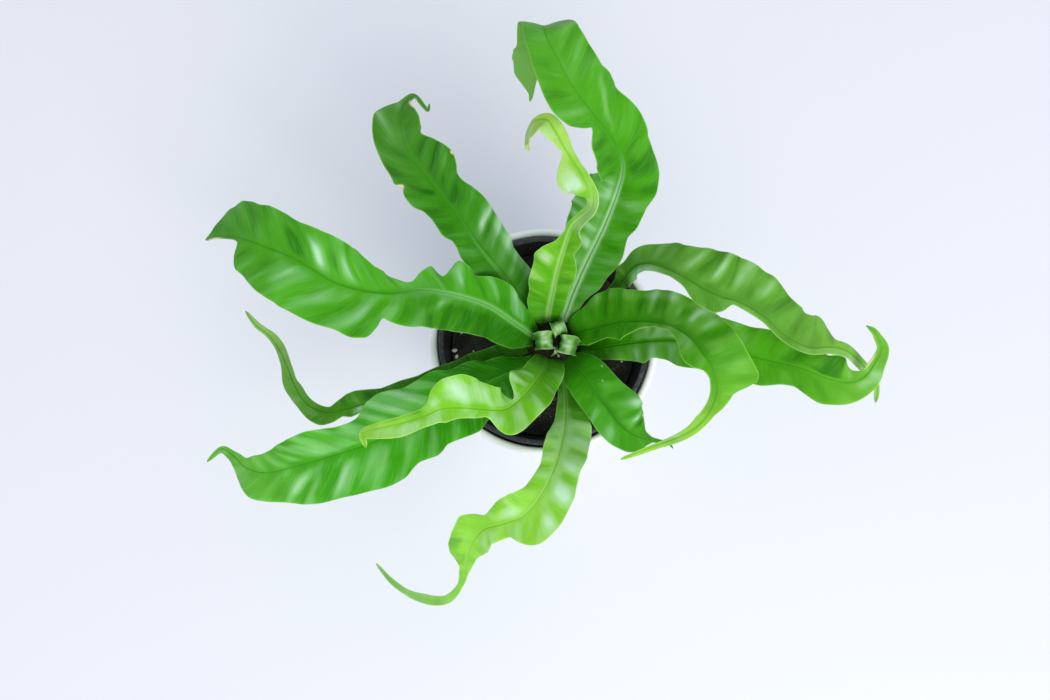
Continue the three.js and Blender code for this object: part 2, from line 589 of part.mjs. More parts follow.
// A body from rings of points, closed by a point at the start and a point at the end
function closedRings(rings, start, end) {
  const count = rings[0].length;
  const points = [...rings.flat(), start, end];
  const at = (i, k) => i * count + (k % count);
  const startAt = points.length - 2;
  const endAt = points.length - 1;
  const index = [];
  for (let k = 0; k < count; k += 1) {
    index.push(startAt, at(0, k + 1), at(0, k));
    for (let i = 0; i + 1 < rings.length; i += 1) {
      index.push(at(i, k), at(i, k + 1), at(i + 1, k + 1), at(i, k), at(i + 1, k + 1), at(i + 1, k));
    }
    index.push(at(rings.length - 1, k), at(rings.length - 1, k + 1), endAt);
  }
  const geometry = new THREE.BufferGeometry();
  const positions = points.flatMap((p) => [p.x, p.y, p.z]);
  geometry.setAttribute('position', new THREE.Float32BufferAttribute(positions, 3));
  geometry.setIndex(index);
  return geometry;
}

// Crown: a blunt dome over a straight neck in the soil, rough with old scales. Extra swells it
function crownSolid(extra = 0) {
  const { x, y, radius, neck, top, root, bluntness, rings } = CROWN;
  const dome = top - SOIL.level;
  const ringAt = (smooth, z, drop = 0) => Array.from({ length: SCALES.around }, (_, k) => {
    const angle = (2 * Math.PI * k) / SCALES.around;
    const rough = smooth + extra + SCALES.relief * Math.sin(k * SCALES.turn + z * SCALES.climb);
    return new THREE.Vector3(x + rough * Math.cos(angle), y + rough * Math.sin(angle), z - drop);
  });
  const grid = [ringAt(neck, root, extra), ringAt(radius, SOIL.level)];
  for (let i = 1; i < rings; i += 1) {
    const lift = (Math.PI / 2) * (i / rings);
    grid.push(ringAt(radius * Math.cos(lift) ** bluntness, SOIL.level + dome * Math.sin(lift)));
  }
  return closedRings(grid, new THREE.Vector3(x, y, root - extra), new THREE.Vector3(x, y, top + extra));
}

// Croziers: a strap that climbs from the crown and rolls up on itself. Its midrib follows a stalk and then
// a spiral whose radius shrinks, so the same blade as a frond's makes it
function crozierFrond({ x, y, foot, top, heading, roll, width, turns }) {
  const { footLean, bendLean, footHalf, bendHalf } = CROZIER_STALK;
  const { stepsPerTurn, radiusLoss, widthLoss, neckShare, fold } = CROZIER_ROLL;
  const turn = THREE.MathUtils.degToRad(heading);
  const middle = top - roll;
  const midrib = [];
  const pairs = [];
  const grow = (forward, z, half) => {
    const point = [x + forward * Math.cos(turn), y + forward * Math.sin(turn), z];
    const [px, py, pz] = midrib.length > 0 ? midrib[midrib.length - 1] : point;
    const step = Math.hypot(point[0] - px, point[1] - py, point[2] - pz);
    pairs.push([(pairs.length > 0 ? pairs[pairs.length - 1][0] : 0) + step, half]);
    midrib.push(point);
  };
  grow(-roll * footLean, foot, footHalf);
  grow(-roll * bendLean, (foot + middle) / 2, bendHalf);
  const steps = Math.round(turns * stepsPerTurn);
  for (let i = 0; i <= steps; i += 1) {
    const share = i / steps;
    const angle = Math.PI - 2 * Math.PI * turns * share;
    const radius = roll * (1 - radiusLoss * share);
    const half = (width / 2) * (1 - widthLoss * share) * (i === 0 ? neckShare : 1);
    grow(radius * Math.cos(angle), middle + radius * Math.sin(angle), half);
  }
  const still = { left: [0, 1], right: [0, 1] };
  return { fold, rise: 0, crests: still, midrib, left: pairs, right: pairs };
}

// Building

const blades = Object.entries(FRONDS);
const croziers = Object.entries(CROZIERS).map(([name, shape]) => [name, crozierFrond(shape)]);
const sockets = [...blades, ...croziers].map(([, frond]) => bladeSolid(frond, GAP, SOCKET_DEPTH));

addPiece('pot', potSolid(), 0xe9ebee, 0.25);
addPiece('nursery_pot', linerSolid(), 0x2b2d30, 0.55);
addPiece('soil', cut(soilSolid(), [crownSolid(GAP)]), 0x1d1712, 0.95);
addPiece('crown', cut(crownSolid(), sockets), 0x2c1c12, 0.9);
for (const [name, frond] of blades) {
  addPiece(name, bladeSolid(frond), frond.color, 0.4);
}
for (const [name, frond] of croziers) {
  addPiece(name, bladeSolid(frond), 0x9ccf7c, 0.45);
}

export default fern;
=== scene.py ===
"""A potted bird's-nest fern with crisped fronds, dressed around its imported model.

Sizes are in millimetres up to the point where a mesh is made. Meshes are in metres, in the model's frame.
"""

import json
import logging
import math
from collections.abc import Sequence
from dataclasses import dataclass, field
from enum import Enum

import bpy
import numpy as np
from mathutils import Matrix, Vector

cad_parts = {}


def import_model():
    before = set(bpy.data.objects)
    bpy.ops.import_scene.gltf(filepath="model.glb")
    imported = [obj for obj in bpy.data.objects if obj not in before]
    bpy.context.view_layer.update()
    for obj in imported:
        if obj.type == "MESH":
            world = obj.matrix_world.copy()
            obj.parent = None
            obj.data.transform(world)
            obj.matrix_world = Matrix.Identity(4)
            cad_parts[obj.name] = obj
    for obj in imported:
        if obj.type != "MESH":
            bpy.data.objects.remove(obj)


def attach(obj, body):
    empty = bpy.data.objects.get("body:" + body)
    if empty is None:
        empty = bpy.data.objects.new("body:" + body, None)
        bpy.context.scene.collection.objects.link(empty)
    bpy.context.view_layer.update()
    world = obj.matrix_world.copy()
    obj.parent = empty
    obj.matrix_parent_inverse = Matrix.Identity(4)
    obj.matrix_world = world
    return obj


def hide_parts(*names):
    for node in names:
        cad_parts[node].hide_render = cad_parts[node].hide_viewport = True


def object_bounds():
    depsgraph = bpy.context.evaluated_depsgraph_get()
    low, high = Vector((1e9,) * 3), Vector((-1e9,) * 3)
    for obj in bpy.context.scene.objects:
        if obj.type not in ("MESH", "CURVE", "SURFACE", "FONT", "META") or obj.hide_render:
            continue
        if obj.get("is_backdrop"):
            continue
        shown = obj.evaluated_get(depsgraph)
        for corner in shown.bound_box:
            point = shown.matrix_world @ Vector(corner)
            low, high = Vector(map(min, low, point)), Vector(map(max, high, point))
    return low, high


LOG = logging.getLogger("potted_fern")
MM = 0.001
BODY = "root"

# What is painted on a blade's points: how the veins flow (place along a vein, distance from the midrib and
# from the edge, all in mm), its tone (share of the length, then its painted light and shade, from 0 for
# painted shade in each trough to 1 for a painted highlight on each ridge and past both in painted bands,
# then the blade's own shift), and its skin (1 on the underside, 1 where it is dry).
FLOW = "blade_flow"
TONE = "blade_tone"
SKIN = "blade_skin"

# Settings that several nodes share.
MIX_COLOR = {"data_type": "RGBA"}
SMOOTH = {"interpolation_type": "SMOOTHSTEP"}
OBJECT_SPACE = "Object"


def lerp(low: np.ndarray | float, high: np.ndarray | float, share: np.ndarray | float) -> np.ndarray:
    """Goes from low to high by a share."""
    return low + (high - low) * share


def smoothstep(value: np.ndarray | float, low: float, high: float) -> np.ndarray:
    """Rises smoothly from 0 at low to 1 at high."""
    share = np.clip((np.asarray(value, float) - low) / (high - low), 0.0, 1.0)
    return share * share * (3.0 - 2.0 * share)


def bump(distance: np.ndarray | float, width: float) -> np.ndarray:
    """A rounded bump, 1 at distance 0 and nearly 0 past two widths."""
    return np.exp(-((np.asarray(distance, float) / width) ** 2))


def unit(vectors: np.ndarray) -> np.ndarray:
    """Scales each vector in the last axis to length 1."""
    return vectors / np.maximum(np.linalg.norm(vectors, axis=-1, keepdims=True), 1e-12)


def linear(hex_color: str) -> tuple[float, float, float, float]:
    """Turns an sRGB colour to linear light.

    Args:
        hex_color: The colour as six hex digits after a hash.

    Returns:
        Red, green, blue and an alpha of 1, each from 0 to 1.
    """
    parts = [int(hex_color[i : i + 2], 16) / 255 for i in (1, 3, 5)]
    bent = [p / 12.92 if p <= 0.04045 else ((p + 0.055) / 1.055) ** 2.4 for p in parts]
    return bent[0], bent[1], bent[2], 1.0


def rows(text: str) -> tuple[tuple[float, ...], ...]:
    """Reads a table of sizes: its rows are parted by commas, and the numbers in a row by spaces."""
    return tuple(tuple(float(word) for word in row.split()) for row in text.split(","))


class SmoothNoise:
    """Noise between -1 and 1 on a seeded lattice, smooth between the lattice's points."""

    SIZE = 64

    def __init__(self, seed: int) -> None:
        """Draws the lattice.

        Args:
            seed: What the draw starts from, so that each run gives the same noise.
        """
        self.lattice = np.random.default_rng(seed).uniform(-1.0, 1.0, (self.SIZE, self.SIZE))

    def at(self, u: np.ndarray, v: np.ndarray | float = 0.0) -> np.ndarray:
        """Reads the noise.

        Args:
            u: Places along the lattice's first side, one unit to a point.
            v: Places along its second side.

        Returns:
            The noise at each place. It repeats every 64 units.
        """
        u, v = np.broadcast_arrays(np.asarray(u, float), np.asarray(v, float))
        i = np.floor(u).astype(int)
        j = np.floor(v).astype(int)
        across = smoothstep(u - i, 0.0, 1.0)
        up = smoothstep(v - j, 0.0, 1.0)
        low = lerp(self._corner(i, j), self._corner(i + 1, j), across)
        high = lerp(self._corner(i, j + 1), self._corner(i + 1, j + 1), across)
        return lerp(low, high, up)

    def _corner(self, i: np.ndarray, j: np.ndarray) -> np.ndarray:
        """The lattice's values at whole places."""
        return self.lattice[i % self.SIZE, j % self.SIZE]


class MeshMaker:
    """Gathers points and faces, with what is painted on the points, into one mesh object."""

    def __init__(self, *painted: str) -> None:
        """Starts empty.

        Args:
            painted: Names of the three-part values that each point carries.
        """
        self.points: list[np.ndarray] = []
        self.faces: list[list[int]] = []
        self.values: dict[str, list[np.ndarray]] = {name: [] for name in painted}
        self.count = 0

    def add(
        self, points: np.ndarray, faces: Sequence[Sequence[int]], values: dict[str, np.ndarray] | None = None
    ) -> None:
        """Adds one closed form.

        Args:
            points: Its points in mm, n by 3.
            faces: Its faces, as indices of these points.
            values: What is painted on each point, by name. A name that is left out is painted 0.
        """
        points = np.asarray(points, float).reshape(-1, 3)
        self.faces.extend([[i + self.count for i in face] for face in faces])
        self.points.append(points)
        for name, gathered in self.values.items():
            given = (values or {}).get(name, np.zeros_like(points))
            gathered.append(np.asarray(given, float).reshape(-1, 3))
        self.count += len(points)

    def make(self, name: str, material: bpy.types.Material) -> bpy.types.Object:
        """Makes the object.

        Args:
            name: The piece's name.
            material: Its only material.

        Returns:
            A smooth-shaded mesh object, in metres, linked to the scene.
        """
        mesh = bpy.data.meshes.new(name)
        mesh.from_pydata((np.concatenate(self.points) * MM).tolist(), [], self.faces)
        for key, gathered in self.values.items():
            attribute = mesh.attributes.new(key, "FLOAT_VECTOR", "POINT")
            attribute.data.foreach_set("vector", np.concatenate(gathered).astype(np.float32).ravel())
        mesh.polygons.foreach_set("use_smooth", [True] * len(mesh.polygons))
        mesh.materials.append(material)
        mesh.update()
        piece = bpy.data.objects.new(name, mesh)
        bpy.context.scene.collection.objects.link(piece)
        return piece


def ring_faces(rings: int, around: int) -> list[list[int]]:
    """The faces of a body of rings, closed by a point at its start and a point at its end.

    Args:
        rings: How many rings there are. Their points come first, ring by ring.
        around: How many points a ring has. The start point and then the end point follow the rings.

    Returns:
        Quads between the rings and triangles at both ends, facing out where the rings turn anticlockwise
        as seen from the end that the body grows towards.
    """
    start = rings * around
    faces = []
    for k in range(around):
        after = (k + 1) % around
        faces.append([start, after, k])
        for i in range(rings - 1):
            low = i * around
            faces.append([low + k, low + after, low + around + after, low + around + k])
        last = (rings - 1) * around
        faces.append([last + k, last + after, start + 1])
    return faces


def revolved(profile: Sequence[tuple[float, float]], around: int) -> tuple[np.ndarray, list[list[int]]]:
    """Turns an outline about the Z axis.

    Args:
        profile: Radius and height of each corner, from the axis underneath, out and up, back to the axis.
        around: How many points go round.

    Returns:
        The points and the faces of the closed body.
    """
    angles = np.arange(around) * math.tau / around
    rings = [
        np.stack([r * np.cos(angles), r * np.sin(angles), np.full(around, z)], axis=1)
        for r, z in profile[1:-1]
    ]
    ends = [(0.0, 0.0, profile[0][1]), (0.0, 0.0, profile[-1][1])]
    return np.concatenate([*rings, np.array(ends)]), ring_faces(len(rings), around)


def rounded(corners: Sequence[tuple[float, float, float]], steps: int = 6) -> list[tuple[float, float]]:
    """Rounds the corners of an outline.

    Args:
        corners: Radius, height and how far back from the corner its round starts, for each corner.
        steps: How many steps a round takes.

    Returns:
        The outline's points.
    """
    outline: list[tuple[float, float]] = []
    for i, (r, z, cut) in enumerate(corners):
        if cut <= 0.0:
            outline.append((r, z))
            continue
        here = np.array((r, z))
        before = here + unit(np.array(corners[i - 1][:2]) - here) * cut
        after = here + unit(np.array(corners[i + 1][:2]) - here) * cut
        for k in range(steps + 1):
            share = k / steps
            point = lerp(lerp(before, here, share), lerp(here, after, share), share)
            outline.append((float(point[0]), float(point[1])))
    return outline


class SmoothCurve:
    """A smooth curve through points, the same one as the model's blades follow."""

    def __init__(self, points: np.ndarray) -> None:
        """Adds a mirrored point before the first and after the last.

        Args:
            points: The points that the curve passes through, one unit of its parameter apart.
        """
        first = 2 * points[0] - points[1]
        last = 2 * points[-1] - points[-2]
        self.points = np.concatenate([[first], points, [last]])

    def at(self, places: np.ndarray) -> tuple[np.ndarray, np.ndarray]:
        """Follows the curve.

        Args:
            places: Parameters from 0 to the last point's number.

        Returns:
            The curve's points there, and its slopes.
        """
        interval = np.minimum(np.floor(places).astype(int), len(self.points) - 4)
        share = (places - interval)[:, None]
        before, here, after, beyond = (self.points[interval + k] for k in range(4))
        start = (after - before) / 2
        end = (beyond - here) / 2
        cube = 2 * here - 2 * after + start + end
        square = 3 * after - 3 * here - 2 * start - end
        point = ((cube * share + square) * share + start) * share + here
        slope = (3 * cube * share + 2 * square) * share + start
        return point, slope


@dataclass(frozen=True)
class BladeShape:
    """How a blade lies, in mm, as in the model.

    Left and right are pairs of a place along the midrib and the half width there. Fold is the angle in
    degrees that both halves stand up from the midrib, at the base and at the tip. Rise is how high the wave
    on each edge goes, and crests are where it does, along the midrib.
    """

    midrib: tuple[tuple[float, ...], ...]
    left: tuple[tuple[float, ...], ...]
    right: tuple[tuple[float, ...], ...]
    fold: tuple[float, float] = (10.0, 6.0)
    rise: float = 0.0
    crests_left: tuple[float, ...] = (0.0, 1.0)
    crests_right: tuple[float, ...] = (0.0, 1.0)


@dataclass(frozen=True)
class PaintedStreak:
    """A soft band of painted light along a side vein: a painted highlight above 0, painted shade below 0.

    Place is where it leaves the midrib and width is how broad it is, in mm along the midrib. Side is 1 on the
    left and -1 on the right. It shows between the shares start and end of the half width, and slant is how
    far it goes towards the tip for each mm that it goes out.
    """

    place: float
    width: float
    side: float
    light: float
    start: float
    end: float
    slant: float


@dataclass(frozen=True)
class Scar:
    """A dry, cream-coloured place, in mm: its place and length along the midrib, its side, its depth, and
    how far in from the edge its middle lies."""

    place: float
    length: float
    side: float
    depth: float
    inset: float = 0.0


def marks_of(kind: type, text: str) -> tuple[PaintedStreak, ...] | tuple[Scar, ...]:
    """Reads streaks or scars from a table, one to a row, each in the order of its fields."""
    return tuple(kind(*row) for row in rows(text))


@dataclass(frozen=True)
class BladeMarks:
    """What sets one blade's surface apart from another's, painted light and shade included.

    Slant is how far the side veins go towards the tip for each mm that they go out, on the left and on the
    right. Lie holds a place along the midrib and the painted light or painted shade on the left and the right
    half there: paler where a half faces the light, darker where it faces away.
    """

    slant: tuple[float, float] = (0.8, 0.8)
    lie: tuple[tuple[float, ...], ...] = ((0.0, 0.0, 0.0),)
    streaks: tuple[PaintedStreak, ...] = ()
    scars: tuple[Scar, ...] = ()


@dataclass(frozen=True)
class BladeRelief:
    """What the living blade has beyond its model, in mm.

    Crisp and pleat are the heights of its corrugations and frill that of its edge's, and their lengths are
    from ridge to ridge. Nick is how deep the edge dips, as a share of the half width. Ribs stand up beside
    the groove along the midrib, and the keel under it. Tissue is the blade's thickness beyond them. Valley
    rounds the fold at the midrib. Least is how strong the corrugations are, from 0 to 1, where the model's
    own wave hasn't begun. Flare lifts both edges, or lowers them where it is below 0.
    """

    crisp: float = 0.33
    crisp_length: float = 11.5
    pleat: float = 0.05
    pleat_length: float = 5.2
    frill: float = 0.1
    frill_length: float = 8.0
    nick: float = 0.008
    nick_length: float = 5.0
    rib: float = 0.2
    rib_place: float = 0.6
    groove: float = 0.16
    keel: float = 0.7
    keel_width: float = 0.9
    tissue: float = 0.48
    valley: float = 0.7
    least: float = 0.0
    flare: float = 0.0


@dataclass(frozen=True)
class Swell:
    """How a corrugation swells and fades in patches: how long they are, in mm along the midrib, which row of
    the noise it reads, its mean strength, and how far that goes up and down."""

    patch: float
    row: float
    mean: float
    swing: float

    def strength(self, noise: SmoothNoise, vein: np.ndarray, half: np.ndarray) -> np.ndarray:
        """How strong the corrugation is along each vein of each half."""
        return self.mean + self.swing * noise.at(vein / self.patch, half + self.row)


@dataclass
class Blade:
    """One leaf blade: the model's own sheet, drawn finer, with its ribs, corrugations and thin edges."""

    shape: BladeShape
    relief: BladeRelief
    seed: int
    marks: BladeMarks
    half_columns: int = 17
    finer: int = 2

    # The same sizes as in the model: how waves start and spread, the thickness of a stalk, and the steps.
    WAVE_START = 10.0
    WAVE_FULL = 40.0
    WAVE_WIDTH = 10.0
    WAVE_SPREAD = 0.03
    WAVE_POWER = 1.8
    CUP = 0.35
    NARROWEST = 0.5
    STALK = 2.4
    STALK_LENGTH = 14.0
    STEP = 5.4
    FINE_STEPS = 4
    TIP_ROUND = 2.2
    TIP_LEAST = 0.02
    CORNER = 1.0

    # The sheet's columns: how they crowd towards the midrib, and two more at the very edge.
    CROWDING = 1.35
    EDGE_COLUMNS = (0.955, 0.985)

    # Where each half and its nicks read the noise, and how the corrugations drift, swell and fade.
    LEFT_HALF = 11.7
    RIGHT_HALF = 31.1
    NICK_ROW = 7.3
    DRIFT = Swell(24.0, 0.0, 0.0, 2.0)
    CRISP = Swell(17.0, 5.0, 0.75, 0.45)
    PLEAT = Swell(9.0, 9.0, 0.7, 0.6)
    FRILL = Swell(12.0, 13.0, 0.6, 0.6)
    PLEAT_DRIFT = 1.6
    FRILL_DRIFT = 2.4

    # Half widths, in mm, from which corrugations and ribs have their full strength, between which shares of
    # the half width corrugations rise, and between which shares of the length the ribs fade, and how far.
    BROAD = 8.0
    BROAD_RIB = 5.0
    RISING = (0.04, 0.5)
    RIB_FADES = (0.25, 0.95)
    RIB_LOSS = 0.8

    # Half the breadth, in mm, of the two ribs beside the midrib's groove, and of the groove, and from which
    # share of the half width on the edge thins, and how far.
    RIB_BREADTH = 0.4
    GROOVE_BREADTH = 0.25
    EDGE_FROM = 0.9
    EDGE_LOSS = 0.5

    # The painted tone: how much painted shade and highlight the corrugations give it, how the painted light
    # of each half passes from half to half, in mm, and out from the midrib, how softly a painted streak
    # starts and ends, and how far a painted streak takes it.
    CRISP_TONE = 0.36
    PLEAT_TONE = 0.1
    LEAN = 1.5
    LIE_FROM = (0.02, 0.2)
    STREAK_STARTS = 0.3
    STREAK_ENDS = 0.35
    DARKEST = -1.0
    PALEST = 3.0

    # How far apart two blades of successive seeds read their material's noise.
    OWN_SHIFT = 3.7

    def add_to(self, maker: MeshMaker) -> None:
        """Adds the blade to a mesh as one closed sheet, with its flow, and its tone of painted light and
        shade, painted on.

        Args:
            maker: The mesh that it goes into.
        """
        self._follow_midrib()
        middle, normal = self._middle_surface()
        relief, tone = self._relief()
        upper_half, lower_half = self._thickness()
        upper = middle + normal * (relief + upper_half)[..., None]
        lower = middle + normal * (relief - lower_half)[..., None]
        points = np.concatenate([upper.reshape(-1, 3), lower.reshape(-1, 3)])
        maker.add(points, sheet_faces(*self.out.shape), self._painting(tone))

    def _places(self, finer: int) -> np.ndarray:
        """Steps along the midrib's curve as the model does, or finer.

        Args:
            finer: How many steps each of the model's fine steps is split into.

        Returns:
            The curve's parameters there.
        """
        midrib = np.array(self.shape.midrib, float)
        gaps = np.linalg.norm(np.diff(midrib, axis=0), axis=1)
        steps = np.maximum(1, np.floor(gaps / self.STEP + 0.5)).astype(int) * self.FINE_STEPS * finer
        parts = [i + np.arange(count) / count for i, count in enumerate(steps)]
        return np.append(np.concatenate(parts), len(midrib) - 1)

    def _follow_midrib(self) -> None:
        """Works out the midrib's points, its sides and the half widths at every fine station."""
        curve = SmoothCurve(np.array(self.shape.midrib, float))
        coarse = self._places(1)
        fine = self._places(self.finer)
        points, slopes = curve.at(coarse)
        steps = np.linalg.norm(np.diff(points, axis=0), axis=1)
        travelled = np.concatenate([[0.0], np.cumsum(steps)])
        sides = self._sides(unit(slopes))
        points, slopes = curve.at(fine)
        along = unit(slopes)
        side = np.stack([np.interp(fine, coarse, sides[:, k]) for k in range(3)], axis=1)
        side = unit(side - along * (side * along).sum(axis=1, keepdims=True))
        places = np.interp(fine, coarse, travelled)
        halves = [self._half_width(pairs, places) for pairs in (self.shape.left, self.shape.right)]
        self.length = float(travelled[-1])
        self.travelled = places[:, None]
        self.points = points[:, None, :]
        self.side = side[:, None, :]
        self.up = np.cross(along, side)[:, None, :]
        self.halves = np.stack(halves, 1)

    def _half_width(self, pairs: tuple[tuple[float, ...], ...], places: np.ndarray) -> np.ndarray:
        """Reads one side's half width, its corners rounded off a little.

        Args:
            pairs: Places along the midrib, and the half width at each.
            places: Where it is wanted.

        Returns:
            The half width at each place.
        """
        knots, halves = np.array(pairs, float).T
        around = np.linspace(-self.CORNER, self.CORNER, 5)
        return np.mean([np.interp(places + shift, knots, halves) for shift in around], axis=0)

    def _sides(self, along: np.ndarray) -> np.ndarray:
        """Carries the blade's left side along its midrib, turned back towards level at each step.

        Args:
            along: The midrib's direction at each station.

        Returns:
            The direction to the left at each station.
        """
        above = np.array((0.0, 0.0, 1.0))
        side = np.cross(above, along[0])
        sides = []
        for direction in along:
            level = np.cross(above, direction)
            side = side + level * (-1.0 if level @ side < 0.0 else 1.0)
            side = unit(side - direction * (side @ direction))
            sides.append(side)
        return np.array(sides)

    def _columns(self) -> np.ndarray:
        """Spaces a station's points, closer together near the midrib and at the very edge.

        Returns:
            Shares of the width, from -1 at the right edge to 1 at the left.
        """
        half = np.linspace(0.0, 1.0, self.half_columns + 1)[1:] ** self.CROWDING
        half = np.sort(np.append(half, self.EDGE_COLUMNS))
        return np.concatenate([-half[::-1], [0.0], half])

    def _middle_surface(self) -> tuple[np.ndarray, np.ndarray]:
        """Spreads the blade to both sides of its midrib.

        Returns:
            The points of its middle surface, station by station, and their normals.
        """
        share = self._columns()[None, :]
        noise = SmoothNoise(self.seed)
        on_left = share > 0.0
        width = np.where(on_left, self.halves[:, :1], self.halves[:, 1:])
        self.full_width = np.maximum(self.NARROWEST, width)
        nicks = noise.at(self.travelled / self.relief.nick_length, np.sign(share) * self.NICK_ROW)
        self.out = np.abs(share) + np.zeros_like(self.travelled)
        self.grown = smoothstep(self.travelled, self.WAVE_START, self.WAVE_FULL)
        wave = np.where(on_left, self._wave(self.shape.crests_left), self._wave(self.shape.crests_right))
        self.vigour = self.grown * np.minimum(1.0, self.full_width / self.WAVE_WIDTH)
        self.liveliness = np.maximum(self.vigour, self.relief.least)
        fold = np.radians(lerp(self.shape.fold[0], self.shape.fold[1], self.travelled / self.length))
        reach = self.full_width * self.out * (1.0 + self.WAVE_SPREAD * wave * self.vigour * self.out)
        lively = np.maximum(self.grown, self.relief.least)
        reach = reach * (1.0 - self.relief.nick * lively * self.out**3 * (1.0 + nicks))
        reach = reach * np.sqrt(np.clip((self.length - self.travelled) / self.TIP_ROUND, self.TIP_LEAST, 1.0))
        bent = np.sqrt(reach**2 + self.relief.valley**2) - self.relief.valley
        height = bent * np.tan(fold) * (1.0 - self.CUP * self.out)
        height = height + self.shape.rise * self.vigour * wave * self.out**self.WAVE_POWER
        self.reach = reach
        self.distance = np.sign(share) * reach
        middle = self.points + self.side * self.distance[..., None] + self.up * height[..., None]
        along = np.gradient(middle, axis=0)
        across = np.gradient(middle, axis=1)
        return middle, unit(np.cross(along, across))

    def _wave(self, crests: tuple[float, ...]) -> np.ndarray:
        """One edge's wave, 1 at every crest and -1 midway between two.

        Args:
            crests: Where its crests are, along the midrib.

        Returns:
            The wave at each station.
        """
        places = np.array(crests, float)
        k = np.searchsorted(places[1:-1], self.travelled, side="left")
        turns = k + (self.travelled - places[k]) / (places[k + 1] - places[k])
        return np.cos(math.tau * turns)

    def _relief(self) -> tuple[np.ndarray, np.ndarray]:
        """The corrugations that run out along the veins, and the fine frill of the edge.

        Returns:
            How far each point of the middle surface rises, in mm, and its painted tone, from painted shade at
            0, low, to a painted highlight at 1, high.
        """
        relief = self.relief
        noise = SmoothNoise(self.seed + 1)
        half = np.where(self.distance > 0.0, self.LEFT_HALF, self.RIGHT_HALF)
        slant = np.where(self.distance > 0.0, *self.marks.slant)
        self.vein = self.travelled - slant * self.reach
        swells = (self.DRIFT, self.CRISP, self.PLEAT, self.FRILL)
        drift, crisp_swell, pleat_swell, frill_swell = (
            swell.strength(noise, self.vein, half) for swell in swells
        )
        crisp = np.sin(math.tau * self.vein / relief.crisp_length + drift + half) * crisp_swell
        pleat = np.sin(math.tau * self.vein / relief.pleat_length + self.PLEAT_DRIFT * drift)
        pleat = pleat * pleat_swell
        broad = np.maximum(np.minimum(1.0, self.full_width / self.BROAD), relief.least)
        rising = smoothstep(self.out, *self.RISING) * self.liveliness * broad
        frill = np.sin(math.tau * self.travelled / relief.frill_length + self.FRILL_DRIFT * drift)
        frill = frill * self.out**4 * self.liveliness * frill_swell
        height = (relief.crisp * crisp + relief.pleat * pleat) * rising + relief.frill * frill
        height = height + relief.flare * self.out**3
        # Painted light and shade: paler on each corrugation's ridge, darker in its trough.
        tone = 0.5 + (self.CRISP_TONE * crisp + self.PLEAT_TONE * pleat) * rising
        return height, np.clip(tone + self._painted_light_and_shade(), self.DARKEST, self.PALEST)

    def _painted_light_and_shade(self) -> np.ndarray:
        """Paints light and shade on the blade: the lie of each half, and each painted streak.

        Returns:
            How much painted highlight each point has, or painted shade where it is below 0.
        """
        places, left, right = np.array(self.marks.lie, float).T
        on_left, on_right = (np.interp(self.travelled, places, half) for half in (left, right))
        leans = smoothstep(self.distance, -self.LEAN, self.LEAN)
        tone = lerp(on_right, on_left, leans) * smoothstep(self.out, *self.LIE_FROM)
        for streak in self.marks.streaks:
            begun = smoothstep(self.out, streak.start, streak.start + self.STREAK_STARTS)
            shown = begun * (1.0 - smoothstep(self.out, streak.end - self.STREAK_ENDS, streak.end))
            near = bump(self.travelled - streak.slant * self.reach - streak.place, streak.width / 2)
            tone = tone + streak.light * near * shown * (self.distance * streak.side > 0.0)
        return tone

    def _dryness(self) -> np.ndarray:
        """Dries the blade where its scars are.

        Returns:
            How dry each point is, 1 in the middle of a scar.
        """
        dry = np.zeros_like(self.out)
        edge = self.full_width * (1.0 - self.out)
        for scar in self.marks.scars:
            along = bump(self.travelled - scar.place, scar.length / 2)
            across = 1.0 - smoothstep(np.abs(edge - scar.inset), 0.3 * scar.depth, scar.depth)
            dry = np.maximum(dry, along * across * (self.distance * scar.side > 0.0))
        return dry

    def _thickness(self) -> tuple[np.ndarray, np.ndarray]:
        """How far the upper and the lower face stand off the middle surface.

        Returns:
            The distances of the upper and the lower face, in mm.
        """
        relief = self.relief
        share = self.travelled / self.length
        fading = 1.0 - self.RIB_LOSS * smoothstep(share, *self.RIB_FADES)
        strong = fading * np.minimum(1.0, self.full_width / self.BROAD_RIB)
        tissue = relief.tissue / 2 * (1.0 - self.EDGE_LOSS * smoothstep(self.out, self.EDGE_FROM, 1.0))
        rib = relief.rib * bump(self.reach - relief.rib_place, self.RIB_BREADTH)
        groove = relief.groove * bump(self.reach, self.GROOVE_BREADTH)
        keel = relief.keel * bump(self.reach, relief.keel_width)
        stalk = self.STALK * (1.0 - self.out / 2) / 2
        grown = smoothstep(self.travelled, 0.0, self.STALK_LENGTH)
        upper = lerp(stalk, tissue + strong * (rib - groove), grown)
        lower = lerp(stalk, tissue + strong * keel, grown)
        return upper, lower

    def _painting(self, tone: np.ndarray) -> dict[str, np.ndarray]:
        """Gathers what the blade's points carry for its material.

        Args:
            tone: The painted light and shade of each point of the middle surface.

        Returns:
            The flow, the tone and the skin of the upper face's points and then of the lower face's.
        """
        edge = self.full_width * (1.0 - self.out)
        flow = np.stack([self.vein, self.distance, edge], axis=-1).reshape(-1, 3)
        along = self.travelled / self.length + np.zeros_like(self.out)
        none = np.zeros_like(tone)
        own = np.full_like(tone, self.seed * self.OWN_SHIFT)
        dry = self._dryness()
        skins = [np.stack([none + under, dry, none], axis=-1).reshape(-1, 3) for under in (0.0, 1.0)]
        shade = np.stack([along, tone, own], axis=-1).reshape(-1, 3)
        return {
            FLOW: np.concatenate([flow, flow]),
            TONE: np.concatenate([shade, shade]),
            SKIN: np.concatenate(skins),
        }


